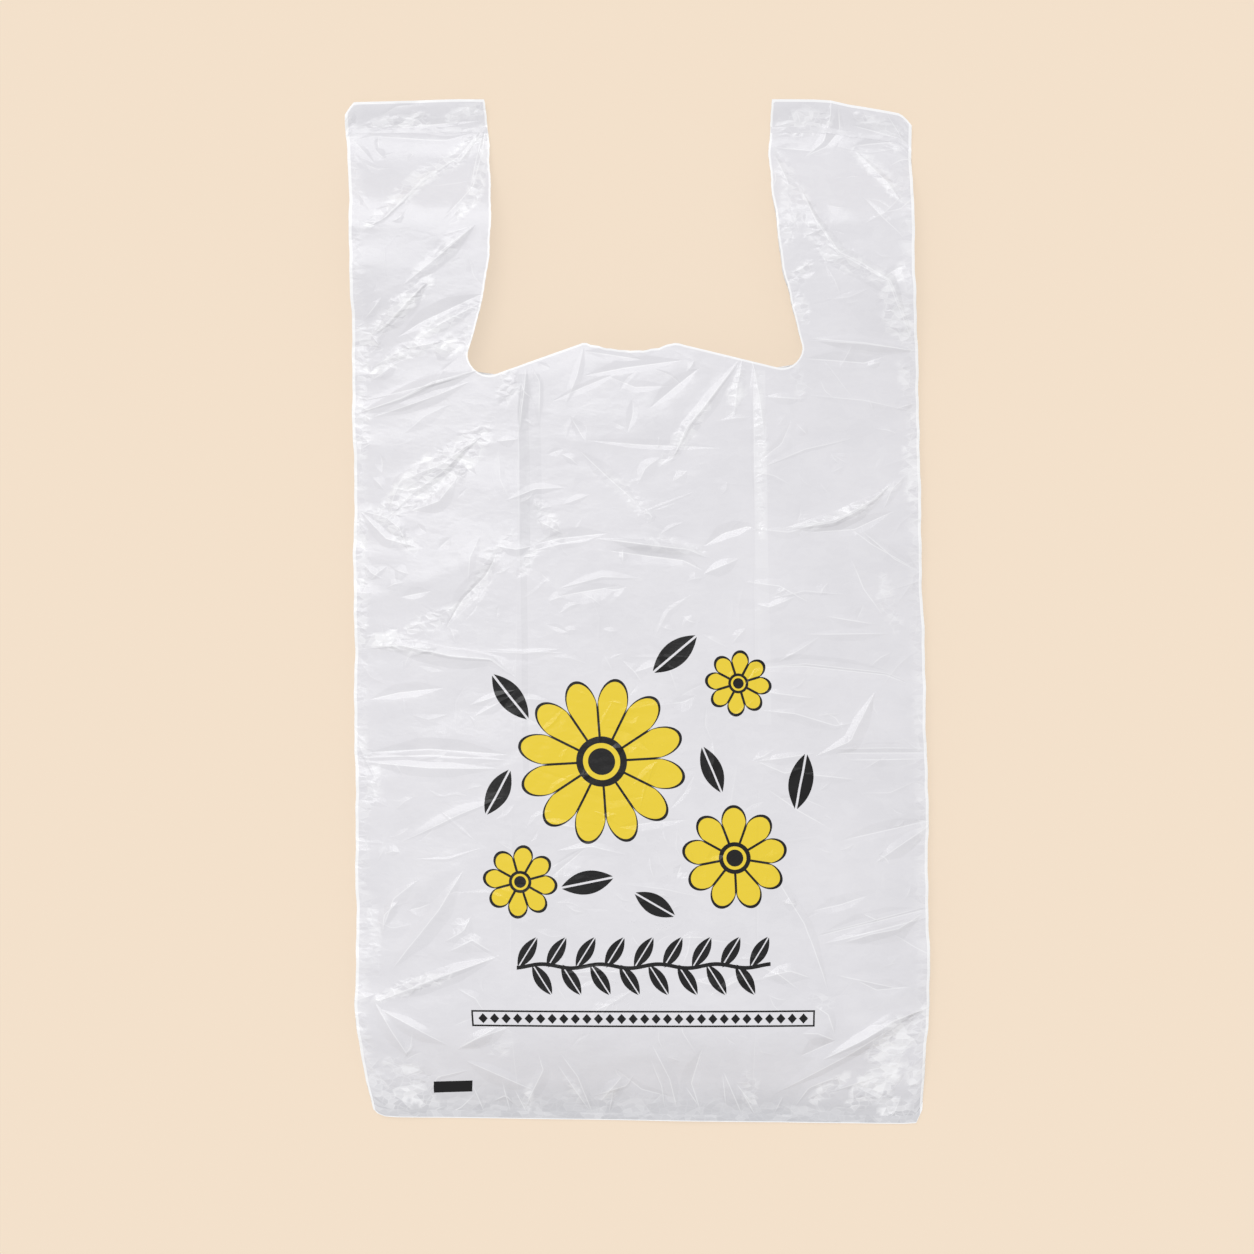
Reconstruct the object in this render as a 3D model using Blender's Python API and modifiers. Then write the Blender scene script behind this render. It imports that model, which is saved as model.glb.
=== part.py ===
"""A thin-film carrier bag with two loop handles, empty and lying on its back panel.

The film is one piece. It is made the way the real bag is made: a tube of film with a gusset
tucked into each side, welded across both ends, and then cut through every layer by one die
that leaves the mouth and the two handles. Metres, +Z up. The bag lies on its back panel at
z = 0 with its front panel up. +Y runs from the bottom weld to the tops of the handles, and the
origin is the middle of the footprint.
"""

import math

import bmesh
import bpy

# The film and the flat bag
BAG_WIDTH = 0.292  # front panel, from side fold to side fold
BAG_LENGTH = 0.527  # bottom edge to the tops of the handles
GUSSET_DEPTH = 0.0825  # how far each side is tucked in
FILM = 0.0004  # wall of the solid, which stands in for film far too thin to build
FOLD_AIR = 0.0004  # air between the two layers inside a side fold
LAYER_GAP = 0.0004  # air between the two gusset layers where they are pressed together
BOTTOM_WELD = 0.004  # width of the weld along the bottom edge
TOP_WELD = 0.003  # width of the weld across each handle
TOP_SKIRT = 0.014  # loose film past the weld, up to the top of the handle

# The die that cuts the mouth and leaves the handles
HANDLE_WIDTH = 0.0728  # at the top of a handle
HANDLE_BELLY = 0.0012  # how much wider a handle is a third of the way down
HANDLE_ROOT_WIDTH = 0.0598  # where the cut runs furthest out, just above its corner
HANDLE_FLARE = 0.084  # length over which a handle widens from its root
MOUTH_DEPTH_LEFT = 0.1422  # handle tops to the lowest point of the cut, left side
MOUTH_DEPTH_RIGHT = 0.1385  # and right side
MOUTH_CORNER = 0.0110  # radius of the cut's two lower corners
PEAK_RISE = 0.0148  # height of the two torn peaks over the mean low point of the mouth
PEAK_SPACING = 0.0495  # between the two peaks, where the hanging tab was torn away
PEAK_DIP = 0.0042  # depth of the hollow between the peaks

# How the empty bag lies
SIDE_LOFT = 0.0055  # height that a side fold gains over the welds, along the body
BODY_LOFT = 0.0110  # further rise of the front panel to the middle of the body
DOME_POWER = 2.6  # how squarely the front panel rises from its side folds
HANDLE_LOFT = 0.0120  # height that a handle's outer edge gains over its weld
HANDLE_CROWN = 0.0018  # further rise of a handle's front strap
HANDLE_GAP = 0.0085  # air between the front and the back strap of a handle
SKIRT_LOFT = 0.0016  # how far the loose skirt opens past its weld
LOFT_RUN = 0.050  # length over which the film rises from a weld
CENTRE_DRIFT = 0.0077  # how far the handle end lies to the left of the bottom end
BOTTOM_SKEW = 0.0040  # how much lower the right bottom corner lies than the left one
DRAW_LEFT = 0.0080  # how far the left bottom corner is drawn in
DRAW_RIGHT = 0.0035  # and the right one
DRAW_RUN = 0.060  # length over which they are drawn in
CORNER_LIFT_LEFT = 0.0035  # how far the left bottom corner is rounded up
CORNER_LIFT_RIGHT = 0.0012  # and the right one
CORNER_REACH = 0.023  # width over which they are rounded up
SHOULDER_DROP_LEFT = 0.0050  # how far the outer top corner of the left handle sinks
SHOULDER_DROP_RIGHT = 0.0100  # and of the right handle
SHOULDER_REACH_LEFT = 0.012  # width over which the left corner sinks
SHOULDER_REACH_RIGHT = 0.050  # and the right one
SHOULDER_RUN = 0.060  # length over which they sink
DIE_CLEARANCE = 0.010  # how far the die reaches past the film

# The creases that show from a step away. Each runs from one point of the front panel to
# another. A point is (share of the half width, share of the length), so (-1, 0) is the left
# bottom corner. Then come the crease's height and the half width of its flank, in metres.
CREASES = [
    ((-0.51, 0.965), (-0.93, 0.870), 0.0030, 0.010),  # left handle, from its inner top corner
    ((-0.72, 0.815), (-0.94, 0.765), 0.0022, 0.010),
    ((-0.56, 0.790), (-0.96, 0.752), 0.0024, 0.010),
    ((-0.56, 0.725), (-0.99, 0.690), 0.0032, 0.012),  # from the left corner of the mouth
    ((0.60, 0.905), (0.90, 0.805), 0.0028, 0.011),  # right handle
    ((0.58, 0.762), (0.99, 0.755), 0.0022, 0.010),
    ((-0.52, 0.665), (-0.88, 0.585), 0.0030, 0.013),  # left of the body
    ((-0.40, 0.545), (-0.08, 0.575), 0.0034, 0.011),  # across the middle
    ((-0.06, 0.565), (0.25, 0.548), 0.0028, 0.011),
    ((0.22, 0.550), (0.42, 0.582), 0.0028, 0.010),
    ((0.58, 0.578), (0.92, 0.606), 0.0030, 0.011),
    ((0.72, 0.572), (0.99, 0.535), 0.0026, 0.010),
    ((-0.99, 0.455), (-0.48, 0.445), 0.0026, 0.011),
    ((-0.99, 0.353), (-0.42, 0.347), 0.0030, 0.012),
    ((-0.84, 0.270), (-0.48, 0.315), 0.0024, 0.011),
    ((0.42, 0.352), (0.99, 0.358), 0.0026, 0.011),
    ((0.60, 0.185), (0.99, 0.212), 0.0026, 0.011),
    ((-0.97, 0.115), (-0.50, 0.160), 0.0028, 0.012),  # left bottom corner
    ((0.96, 0.120), (0.48, 0.032), 0.0034, 0.013),  # right bottom corner
    ((-0.43, 0.735), (-0.43, 0.060), 0.0010, 0.009),  # over the tucked edge of the left gusset
    ((0.41, 0.740), (0.41, 0.060), 0.0010, 0.009),  # and of the right one
]
CREASE_FADE = 0.15  # share of a crease's length over which it fades at each end
CREASE_OVERRUN = 0.08  # share by which it fades out past each end

# Resolution of the film
FRONT_COLUMNS = 32
BACK_COLUMNS = 6
GUSSET_COLUMNS = 3
FOLD_STEPS = 2
STATIONS = 44
ARC_STEPS = 6

FILM_COLOUR = (0.78, 0.77, 0.80, 1.0)
FILM_ROUGHNESS = 0.28
SMOOTH_BELOW = 50  # degrees between faces that are shaded as one

HALF_WIDTH = BAG_WIDTH / 2
FOLD_RADIUS = FILM + FOLD_AIR / 2  # outside of a side fold
FOLD_HEIGHT = 2 * FOLD_RADIUS
WELD_HEIGHT = 2 * FOLD_HEIGHT + LAYER_GAP  # four layers pressed together
TOP_WELD_END = BAG_LENGTH - TOP_SKIRT
TOP_WELD_START = TOP_WELD_END - TOP_WELD
MOUTH_LEVEL = BAG_LENGTH - (MOUTH_DEPTH_LEFT + MOUTH_DEPTH_RIGHT) / 2


def clear_scene():
    for thing in list(bpy.data.objects):
        bpy.data.objects.remove(thing)


def collection(name):
    made = bpy.data.collections.new(name)
    bpy.context.scene.collection.children.link(made)
    return made


def ease(value, start, end):
    """0 before start, 1 after end, and a smooth rise between them."""
    t = min(1.0, max(0.0, (value - start) / (end - start)))
    return t * t * (3 - 2 * t)


def spread(first, last, steps):
    return [first + (last - first) * i / steps for i in range(steps + 1)]


def free_share(along):
    """0 at the welds, and 1 where the film lies a loft run or more away from them."""
    from_bottom = ease(along, BOTTOM_WELD, BOTTOM_WELD + LOFT_RUN)
    from_top = ease(TOP_WELD_START - along, 0, LOFT_RUN)
    return from_bottom * from_top


def handle_share(along):
    """0 in the body, and 1 along the handles."""
    return ease(along, MOUTH_LEVEL, MOUTH_LEVEL + LOFT_RUN)


def side_height(along):
    """Height of the front panel at its side folds."""
    loft = SIDE_LOFT + (HANDLE_LOFT - SIDE_LOFT) * handle_share(along)
    skirt = SKIRT_LOFT * ease(along, TOP_WELD_END, BAG_LENGTH)
    return WELD_HEIGHT + loft * free_share(along) + skirt


def tuck_gap(along):
    """Air between the two gusset layers at their inner edge."""
    wide = (HANDLE_GAP - LAYER_GAP) * handle_share(along) * free_share(along)
    return LAYER_GAP + wide


def crease_height(across, along):
    """Height that the creases add to the front panel, all of it outwards."""
    height = 0.0
    x = across * HALF_WIDTH
    for (x1, y1), (x2, y2), rise, flank in CREASES:
        start_x, start_y = x1 * HALF_WIDTH, y1 * BAG_LENGTH
        run_x, run_y = x2 * HALF_WIDTH - start_x, y2 * BAG_LENGTH - start_y
        run = math.hypot(run_x, run_y)
        share = ((x - start_x) * run_x + (along - start_y) * run_y) / run**2
        off = abs((x - start_x) * run_y - (along - start_y) * run_x) / run
        start_fade = ease(share, -CREASE_OVERRUN, CREASE_FADE)
        end_fade = ease(1 - share, -CREASE_OVERRUN, CREASE_FADE)
        height = max(height, rise * start_fade * end_fade * max(0.0, 1 - off / flank))
    return height


def front_height(across, along):
    crown = BODY_LOFT + (HANDLE_CROWN - BODY_LOFT) * handle_share(along)
    dome = crown * (1 - abs(across) ** DOME_POWER)
    return side_height(along) + (dome + crease_height(across, along)) * free_share(along)


def half_width(side, along):
    """Half the width on one side, with the bottom corners drawn in."""
    draw = DRAW_RIGHT if side > 0 else DRAW_LEFT
    return HALF_WIDTH - draw * (1 - ease(along, -DRAW_RUN / 2, DRAW_RUN))


def corner_share(from_side, reach):
    """1 at a side fold, and 0 from its reach inwards."""
    return ease(reach - from_side, 0, reach)


def plan(x, along):
    """Moves a point of the straight bag to where the film lies, seen from above."""
    from_left = HALF_WIDTH + x
    from_right = HALF_WIDTH - x
    low = 1 - ease(along, 0, BAG_LENGTH / 2)
    skew = BOTTOM_SKEW * x / BAG_WIDTH
    lift_left = CORNER_LIFT_LEFT * corner_share(from_left, CORNER_REACH)
    lift_right = CORNER_LIFT_RIGHT * corner_share(from_right, CORNER_REACH)
    high = ease(along, BAG_LENGTH - SHOULDER_RUN, BAG_LENGTH)
    drop_left = SHOULDER_DROP_LEFT * corner_share(from_left, SHOULDER_REACH_LEFT)
    drop_right = SHOULDER_DROP_RIGHT * corner_share(from_right, SHOULDER_REACH_RIGHT)
    rise = low * (lift_left + lift_right - skew) - high * (drop_left + drop_right)
    return x - CENTRE_DRIFT * along / BAG_LENGTH, along + rise


def film_ring():
    """The film's stops once round the tube: (layer, side, share of the way over that layer)."""
    arcs = spread(0, 1, FOLD_STEPS)[1:-1]
    over = spread(0, 1, GUSSET_COLUMNS)
    right = [("front_fold", 1, a) for a in arcs]
    right += [("upper_gusset", 1, e) for e in over]
    right += [("lower_gusset", 1, 1 - e) for e in over]
    right += [("back_fold", 1, a) for a in arcs]
    left = [(layer, -1, share) for layer, _, share in reversed(right)]
    front = [("front", 0, s) for s in spread(-1, 1, FRONT_COLUMNS)]
    back = [("back", 0, s) for s in spread(1, -1, BACK_COLUMNS)]
    return front + right + back + left


def film_point(stop, along):
    """Where one stop of the ring lies, on the outer face of the film."""
    layer, side, share = stop
    edge = side_height(along)
    if layer in ("front", "back"):
        x = share * (half_width(share, along) - FOLD_RADIUS)
        return x, front_height(share, along) if layer == "front" else 0.0
    wide = half_width(side, along)
    if layer in ("front_fold", "back_fold"):
        turn = share * math.pi
        middle = edge - FOLD_RADIUS if layer == "front_fold" else FOLD_RADIUS
        out = wide - FOLD_RADIUS * (1 - math.sin(turn))
        return side * out, middle + FOLD_RADIUS * math.cos(turn)
    tuck = FOLD_RADIUS + (GUSSET_DEPTH - FOLD_RADIUS) * share
    half_gap = tuck_gap(along) / 2
    if layer == "upper_gusset":
        z = (edge - FOLD_HEIGHT) * (1 - share) + (edge / 2 + half_gap) * share
    else:
        z = FOLD_HEIGHT * (1 - share) + (edge / 2 - half_gap) * share
    return side * (wide - tuck), z


def film_stations():
    """Distances from the bottom edge, from inside the bottom weld to the top of the skirt."""
    free = spread(BOTTOM_WELD, TOP_WELD_START, STATIONS)
    return [BOTTOM_WELD / 2] + free + [TOP_WELD_END, TOP_WELD_END + TOP_SKIRT / 2, BAG_LENGTH]


def link_mesh(bm, name, where):
    mesh = bpy.data.meshes.new(name)
    bm.to_mesh(mesh)
    bm.free()
    made = bpy.data.objects.new(name, mesh)
    where.objects.link(made)
    return made


def make_tube(where):
    """The gusseted tube: a grid wrapped once round the ring, then given its wall.

    The ring starts along the front panel towards +X, so the grid's faces already point outwards.
    """
    ring = film_ring()
    stations = film_stations()
    bm = bmesh.new()
    bmesh.ops.create_grid(bm, x_segments=len(ring), y_segments=len(stations) - 1, size=0.5)
    for v in bm.verts:
        column = round((v.co.x + 0.5) * len(ring)) % len(ring)
        row = round((v.co.y + 0.5) * (len(stations) - 1))
        x, z = film_point(ring[column], stations[row])
        x, y = plan(x, stations[row])
        v.co = (x, y, z)
    bmesh.ops.remove_doubles(bm, verts=bm.verts, dist=LAYER_GAP / 4)
    tube = link_mesh(bm, "carrier_bag", where)
    wall = tube.modifiers.new("wall", "SOLIDIFY")
    wall.thickness = FILM
    wall.offset = -1
    wall.use_even_offset = True
    return tube


def make_weld(name, low, high, where):
    """A flat bar of welded film across the whole width, from low to high along the bag."""
    bm = bmesh.new()
    bmesh.ops.create_grid(bm, x_segments=FRONT_COLUMNS, y_segments=1, size=0.5)
    for v in bm.verts:
        along = low + (high - low) * (v.co.y + 0.5)
        x, y = plan(v.co.x * 2 * half_width(v.co.x, along), along)
        v.co = (x, y, 0)
    raised = bmesh.ops.extrude_face_region(bm, geom=bm.faces[:])
    top = [v for v in raised["geom"] if isinstance(v, bmesh.types.BMVert)]
    bmesh.ops.translate(bm, verts=top, vec=(0, 0, WELD_HEIGHT))
    bmesh.ops.recalc_face_normals(bm, faces=bm.faces)
    return link_mesh(bm, name, where)


def arc(centre_x, centre_y, radius, start, end):
    """Points of a round corner, with its angles in degrees."""
    turns = [math.radians(a) for a in spread(start, end, ARC_STEPS)]
    return [(centre_x + radius * math.cos(a), centre_y + radius * math.sin(a)) for a in turns]


def die_side(depth):
    """The right half of the cut, from the middle of the mouth up to the top of the handle."""
    inner = HALF_WIDTH - HANDLE_WIDTH
    root = HALF_WIDTH - HANDLE_ROOT_WIDTH
    low = BAG_LENGTH - depth
    peak = MOUTH_LEVEL + PEAK_RISE
    centre_x, centre_y = root - MOUTH_CORNER, low + MOUTH_CORNER
    slope = math.degrees(math.atan2(peak - low, centre_x - PEAK_SPACING / 2))
    points = []
    for share in spread(0, 1, ARC_STEPS):
        hollow = PEAK_DIP * (1 - share**2)
        points.append((PEAK_SPACING / 2 * share, peak - hollow))
    points += arc(centre_x, centre_y, MOUTH_CORNER, -90 - slope, 0)
    for share in spread(0, 1, ARC_STEPS)[1:]:
        bend = math.sin(share * math.pi / 2)
        x = root + (inner - HANDLE_BELLY - root) * bend
        points.append((x, centre_y + HANDLE_FLARE * share))
    return points + [(inner, BAG_LENGTH + DIE_CLEARANCE)]


def make_mouth_die(where):
    """The die that cuts the mouth through every layer, as a block standing through the bag."""
    right = die_side(MOUTH_DEPTH_RIGHT)
    left = [(-x, y) for x, y in die_side(MOUTH_DEPTH_LEFT)]
    outline = [plan(x, y) for x, y in list(reversed(left)) + right[1:]]
    flat = bpy.data.curves.new("mouth_die", "CURVE")
    flat.dimensions = "2D"
    flat.fill_mode = "BOTH"
    flat.extrude = WELD_HEIGHT + SIDE_LOFT + HANDLE_LOFT + BODY_LOFT + DIE_CLEARANCE
    line = flat.splines.new("POLY")
    line.points.add(len(outline) - 1)
    for point, (x, y) in zip(line.points, outline):
        point.co = (x, y, 0, 1)
    line.use_cyclic_u = True
    block = bpy.data.objects.new("mouth_die_outline", flat)
    where.objects.link(block)
    bpy.context.view_layer.update()
    evaluated = block.evaluated_get(bpy.context.evaluated_depsgraph_get())
    mesh = bpy.data.meshes.new_from_object(evaluated)
    bpy.data.objects.remove(block)
    bm = bmesh.new()
    bm.from_mesh(mesh)
    bmesh.ops.remove_doubles(bm, verts=bm.verts, dist=FILM / 10)
    bmesh.ops.recalc_face_normals(bm, faces=bm.faces)
    return link_mesh(bm, "mouth_die", where)


def join_or_cut(part, tool, operation):
    step = part.modifiers.new(tool.name, "BOOLEAN")
    step.operation = operation
    step.object = tool
    tool.display_type = "WIRE"
    tool.hide_render = True


def film_material():
    """Milky, shiny film."""
    material = bpy.data.materials.new("white film")
    material.use_nodes = True
    shader = material.node_tree.nodes["Principled BSDF"]
    shader.inputs["Base Color"].default_value = FILM_COLOUR
    shader.inputs["Roughness"].default_value = FILM_ROUGHNESS
    shader.inputs["Metallic"].default_value = 0.0
    return material


def centre_on_footprint(bag, tools):
    """Puts the middle of the footprint at the origin."""
    bpy.context.view_layer.update()
    seen = bag.evaluated_get(bpy.context.evaluated_depsgraph_get())
    across = [v.co.x for v in seen.data.vertices]
    along = [v.co.y for v in seen.data.vertices]
    for thing in [bag] + tools:
        thing.location.x = -(min(across) + max(across)) / 2
        thing.location.y = -(min(along) + max(along)) / 2


def main():
    clear_scene()
    bag_parts = collection("carrier bag")
    tool_parts = collection("welds and die")
    bag = make_tube(bag_parts)
    bottom = make_weld("bottom_weld", 0, BOTTOM_WELD, tool_parts)
    top = make_weld("top_weld", TOP_WELD_START, TOP_WELD_END, tool_parts)
    die = make_mouth_die(tool_parts)
    join_or_cut(bag, bottom, "UNION")
    join_or_cut(bag, top, "UNION")
    join_or_cut(bag, die, "DIFFERENCE")
    bag.data.materials.append(film_material())
    bag.data.shade_smooth()
    bag.data.set_sharp_from_angle(angle=math.radians(SMOOTH_BELOW))
    centre_on_footprint(bag, [bottom, top, die])


main()
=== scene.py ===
import math
import random

import bmesh
import bpy
import numpy as np
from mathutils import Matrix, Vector


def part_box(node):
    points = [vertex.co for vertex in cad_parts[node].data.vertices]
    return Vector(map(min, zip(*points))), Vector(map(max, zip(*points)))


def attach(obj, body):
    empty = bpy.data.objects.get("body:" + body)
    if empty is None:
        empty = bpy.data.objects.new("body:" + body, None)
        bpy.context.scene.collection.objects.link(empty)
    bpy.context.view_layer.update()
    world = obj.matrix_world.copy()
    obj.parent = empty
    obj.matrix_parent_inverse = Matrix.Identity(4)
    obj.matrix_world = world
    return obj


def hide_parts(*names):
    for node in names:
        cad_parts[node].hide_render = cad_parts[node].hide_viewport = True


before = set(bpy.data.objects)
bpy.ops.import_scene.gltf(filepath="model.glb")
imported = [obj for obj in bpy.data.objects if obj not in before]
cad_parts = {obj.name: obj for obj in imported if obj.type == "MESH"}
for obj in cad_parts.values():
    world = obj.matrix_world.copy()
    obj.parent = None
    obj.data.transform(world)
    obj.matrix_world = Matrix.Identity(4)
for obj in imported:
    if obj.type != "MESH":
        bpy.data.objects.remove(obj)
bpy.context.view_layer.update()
print("stage: frame loaded")

# The flat bag, in metres. x runs across it from its centre line, and along runs up from its
# bottom edge. What lies where in the picture is read in pixels of the 1254 pixel frame.
bag = {
    "halfWidth": 0.146,
    "length": 0.527,
    "gussetDepth": 0.0825,
    "wall": 0.00015,
    "foldRadius": 0.0003,
    "layerGap": 0.0002,
    "bottomWeld": 0.004,
    "topWeld": 0.003,
    "topSkirt": 0.014,
    "handleWidth": 0.0728,
    "handleBelly": 0.0012,
    "handleRoot": 0.0598,
    "handleFlare": 0.084,
    "mouthDepth": {-1: 0.1434, 1: 0.1397},
    "mouthCorner": 0.0110,
    "peakRise": 0.0148,
    "peakAside": {-1: 0.0259, 1: 0.0200},
    "peakDip": 0.0042,
    "sideLoft": 0.0058,
    "bodyLoft": 0.0112,
    "domePower": 2.6,
    "handleLoft": 0.0128,
    "handleCrown": 0.0018,
    "handleGap": 0.0085,
    "skirtLoft": 0.0016,
    "loftRun": 0.050,
    "centreDrift": 0.0077,
    "bottomSkew": 0.0040,
    "draw": {-1: 0.0070, 1: 0.0028},
    "drawRun": 0.060,
    "corners": {  # distance in from the side fold, and how far the bottom edge has risen there
        -1: [(0, 0.0040), (0.0022, 0.0018), (0.0060, 0.0004), (0.013, 0)],
        1: [(0, 0.0076), (0.0032, 0.0005), (0.009, 0.0001), (0.020, 0)],
    },
    "cornerRun": 0.060,
    "shoulders": {  # distance in from the side fold, and how far the top edge has sunk there
        -1: [(0, 0.0078), (0.0042, 0.0014), (0.010, 0.0012), (0.058, 0)],
        1: [(0, 0.0135), (0.003, 0.0098), (0.006, 0.0072), (0.012, 0.0060), (0.026, 0.0036),
            (0.032, 0.0027), (0.042, 0.0004), (0.050, 0)],
    },
    "shoulderRun": {-1: 0.026, 1: 0.050},
    "topLean": 0.0018,  # how far the top of the left handle leans out
    "topLeanRun": 0.030,
    "sideSpread": {  # distance up the bag, and how much wider than the flat bag it lies there
        -1: [(0, 0), (0.015, 0.0020), (0.062, 0.0029), (0.114, 0.0016), (0.217, 0.0010),
             (0.269, 0.0005), (0.330, -0.0003), (0.440, -0.0005), (0.473, -0.0004),
             (0.497, 0.0009), (0.510, 0.0009), (0.527, 0.0)],
        1: [(0, -0.0012), (0.036, -0.0006), (0.062, 0.0010), (0.114, 0.0010), (0.166, 0.0016),
            (0.230, 0.0010), (0.321, -0.0002), (0.370, 0.0002), (0.419, -0.0014), (0.490, -0.0018),
            (0.527, -0.0012)],
    },
    "edgeSpread": {  # the same for the cut edge of a handle, outwards
        -1: [(0.385, 0), (0.419, -0.0008), (0.435, -0.0008), (0.455, 0.0001), (0.476, 0.0012),
             (0.492, 0.0009), (0.507, 0.0004), (0.518, 0.0001), (0.527, 0.0011)],
        1: [(0.39, 0.0008), (0.44, 0.0012), (0.465, 0.0016), (0.480, 0.0004), (0.500, -0.0010),
            (0.52, 0)],
    },
    "edgeStep": 0.0013,  # how far the cut of the layers below lies behind the front panel's
    "edgeStepRun": 0.008,
    "weldProud": 0.00008,
    "weldOverlap": 0.0001,
    "sideWave": 0.0007,
    "sideRipple": 0.00030,
    "rippleTurns": (1.3, 0.1),  # stretch and shift, so that it doesn't follow the side's wave
    # A row of waves holds the height, the turns in radians a metre, and the shift of each.
    "sideWaves": [(1.0, 61, 1), (0.6, 143, 2), (0.35, 331, 3)],
    "sidePhase": {-1: 4.1, 1: 1.3},
    "tornWaves": [(0.00018, 900, 0), (0.0001, 2300, 1)],  # the torn cut between the peaks
    "tornHalf": 0.030,
    "tornFade": 0.008,
    "nickWaves": [(0.0002, 310, 1), (0.0001, 1170, 0)],
    "nickRun": (0.005, 0.03),
    "bottomLift": [(0.0011, 34, 0.6), (0.0004, 88, 0)],
    "bottomLiftRun": 0.022,
    "topLift": [(0.0010, 75, 2.0)],
    "topLiftRun": 0.03,
    "skirtCrease": 0.8,  # share of the creases' height on the loose skirt past a top weld
    "skirtFade": 0.004,
    "bottomFade": 0.008,
    "topFade": 0.006,
    "edgeCrease": 0.35,  # share of a ridge's height that is left on a side fold
    "edgePower": 8,
    "gussetRipple": 0.0006,
    "gussetTurns": (120, 60),
    "backLift": 0.0011,
    "backTurns": (47, 21, 39),
    "backBend": 9,
    "backPower": 4,
}
picture = {"scale": 0.0005175, "bottom": 1120, "centre": 625.5, "lean": 0.01697}
mesh = {
    "frontHandle": 33,  # columns across one handle
    "frontMiddle": 80,
    "layerHandle": 6,  # the same on the layers that lie under the front panel
    "layerMiddle": 12,
    "tuck": 2,
    "fold": 3,
    "bodyRows": 176,
    "handleRows": 65,
    "cutSteps": 24,
    "weldSteps": 90,
    "weldAside": 3,  # metres between the front panel and the welds in the map
    "sharpAngle": 52,
}

weldHeight = 4 * bag["foldRadius"] + bag["layerGap"]
mouthLevel = bag["length"] - (bag["mouthDepth"][-1] + bag["mouthDepth"][1]) / 2
topWeldEnd = bag["length"] - bag["topSkirt"]
topWeldStart = topWeldEnd - bag["topWeld"]


def ease(value, start, end):
    t = np.clip((value - start) / (end - start), 0.0, 1.0)
    return t * t * (3 - 2 * t)


def fromPicture(px, py):
    x = (px - picture["centre"] - picture["lean"] * py) * picture["scale"]
    return x, (picture["bottom"] - py) * picture["scale"]


def traced(pixels):
    return [fromPicture(*p) for p in pixels]


def measured(name, side, at):
    places = bag[name][side]
    return np.interp(at, [p[0] for p in places], [p[1] for p in places])


def pick(pair, side):
    return np.where(side > 0, pair[1], pair[-1])


def waves(at, rows, phase=1):
    return sum(height * np.sin(at * turns + shift * phase) for height, turns, shift in rows)


def humps(at, rows):
    # the same with the lower half of every wave cut off
    return sum(height * np.maximum(0, np.sin(at * turns + shift)) for height, turns, shift in rows)


def bentLine(x, y, run, tilt, bend):
    half = run / 2
    a = (x - half * math.cos(tilt - bend), y - half * math.sin(tilt - bend))
    b = (x + half * math.cos(tilt + bend), y + half * math.sin(tilt + bend))
    return [a, (x, y), b]


# The creases that can be told apart. Each is its height and the half width of its flank, in
# millimetres, and then the pixels that it runs through. A ridge is above 0 and a valley below.
handleCreases = [
    (-0.5, 2.6, (349, 133), (420, 127), (484, 122)),
    (-0.4, 2.6, (349, 143), (371, 137), (420, 141), (443, 142), (470, 135)),
    (0.9, 4.0, (483, 127), (455, 160), (420, 182), (380, 225), (365, 232)),
    (0.6, 3.0, (483, 130), (456, 165)),
    (0.8, 4.0, (483, 140), (470, 190), (440, 225)),
    (0.7, 3.0, (476, 165), (472, 200)),
    (0.5, 3.5, (473, 230), (430, 262)),
    (0.4, 3.0, (473, 230), (440, 240)),
    (0.6, 4.5, (473, 230), (400, 290)),
    (1.3, 5.5, (426, 285), (400, 310), (380, 330), (368, 338)),
    (0.5, 2.6, (368, 338), (378, 350)),
    (0.6, 3.0, (379, 302), (361, 322)),
    (-0.8, 5.0, (480, 298), (420, 325), (395, 340)),
    (0.8, 3.5, (478, 307), (440, 326), (415, 342)),
    (0.9, 5.0, (432, 350), (450, 356)),
    (0.7, 4.0, (440, 345), (400, 352), (370, 370)),
    (0.6, 3.5, (395, 365), (370, 382)),
    (1.6, 6.0, (478, 373), (430, 385), (400, 400), (355, 416)),
    (0.8, 3.5, (468, 385), (430, 400), (370, 420)),
    (-1.0, 4.0, (836, 104), (838, 130), (825, 148), (800, 160)),
    (-0.8, 4.0, (910, 130), (850, 122)),
    (-0.7, 4.0, (910, 130), (850, 145)),
    (-0.5, 2.6, (772, 149), (812, 153)),
    (1.0, 3.0, (853, 148), (868, 165), (885, 185), (900, 208)),
    (0.7, 3.0, (772, 156), (787, 190)),
    (1.3, 6.0, (797, 190), (812, 225), (835, 258), (855, 268), (885, 285), (895, 310), (912, 350)),
    (1.2, 4.5, (805, 342), (860, 346), (915, 354)),
    (-0.8, 4.0, (800, 362), (860, 366), (880, 359)),
]
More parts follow.
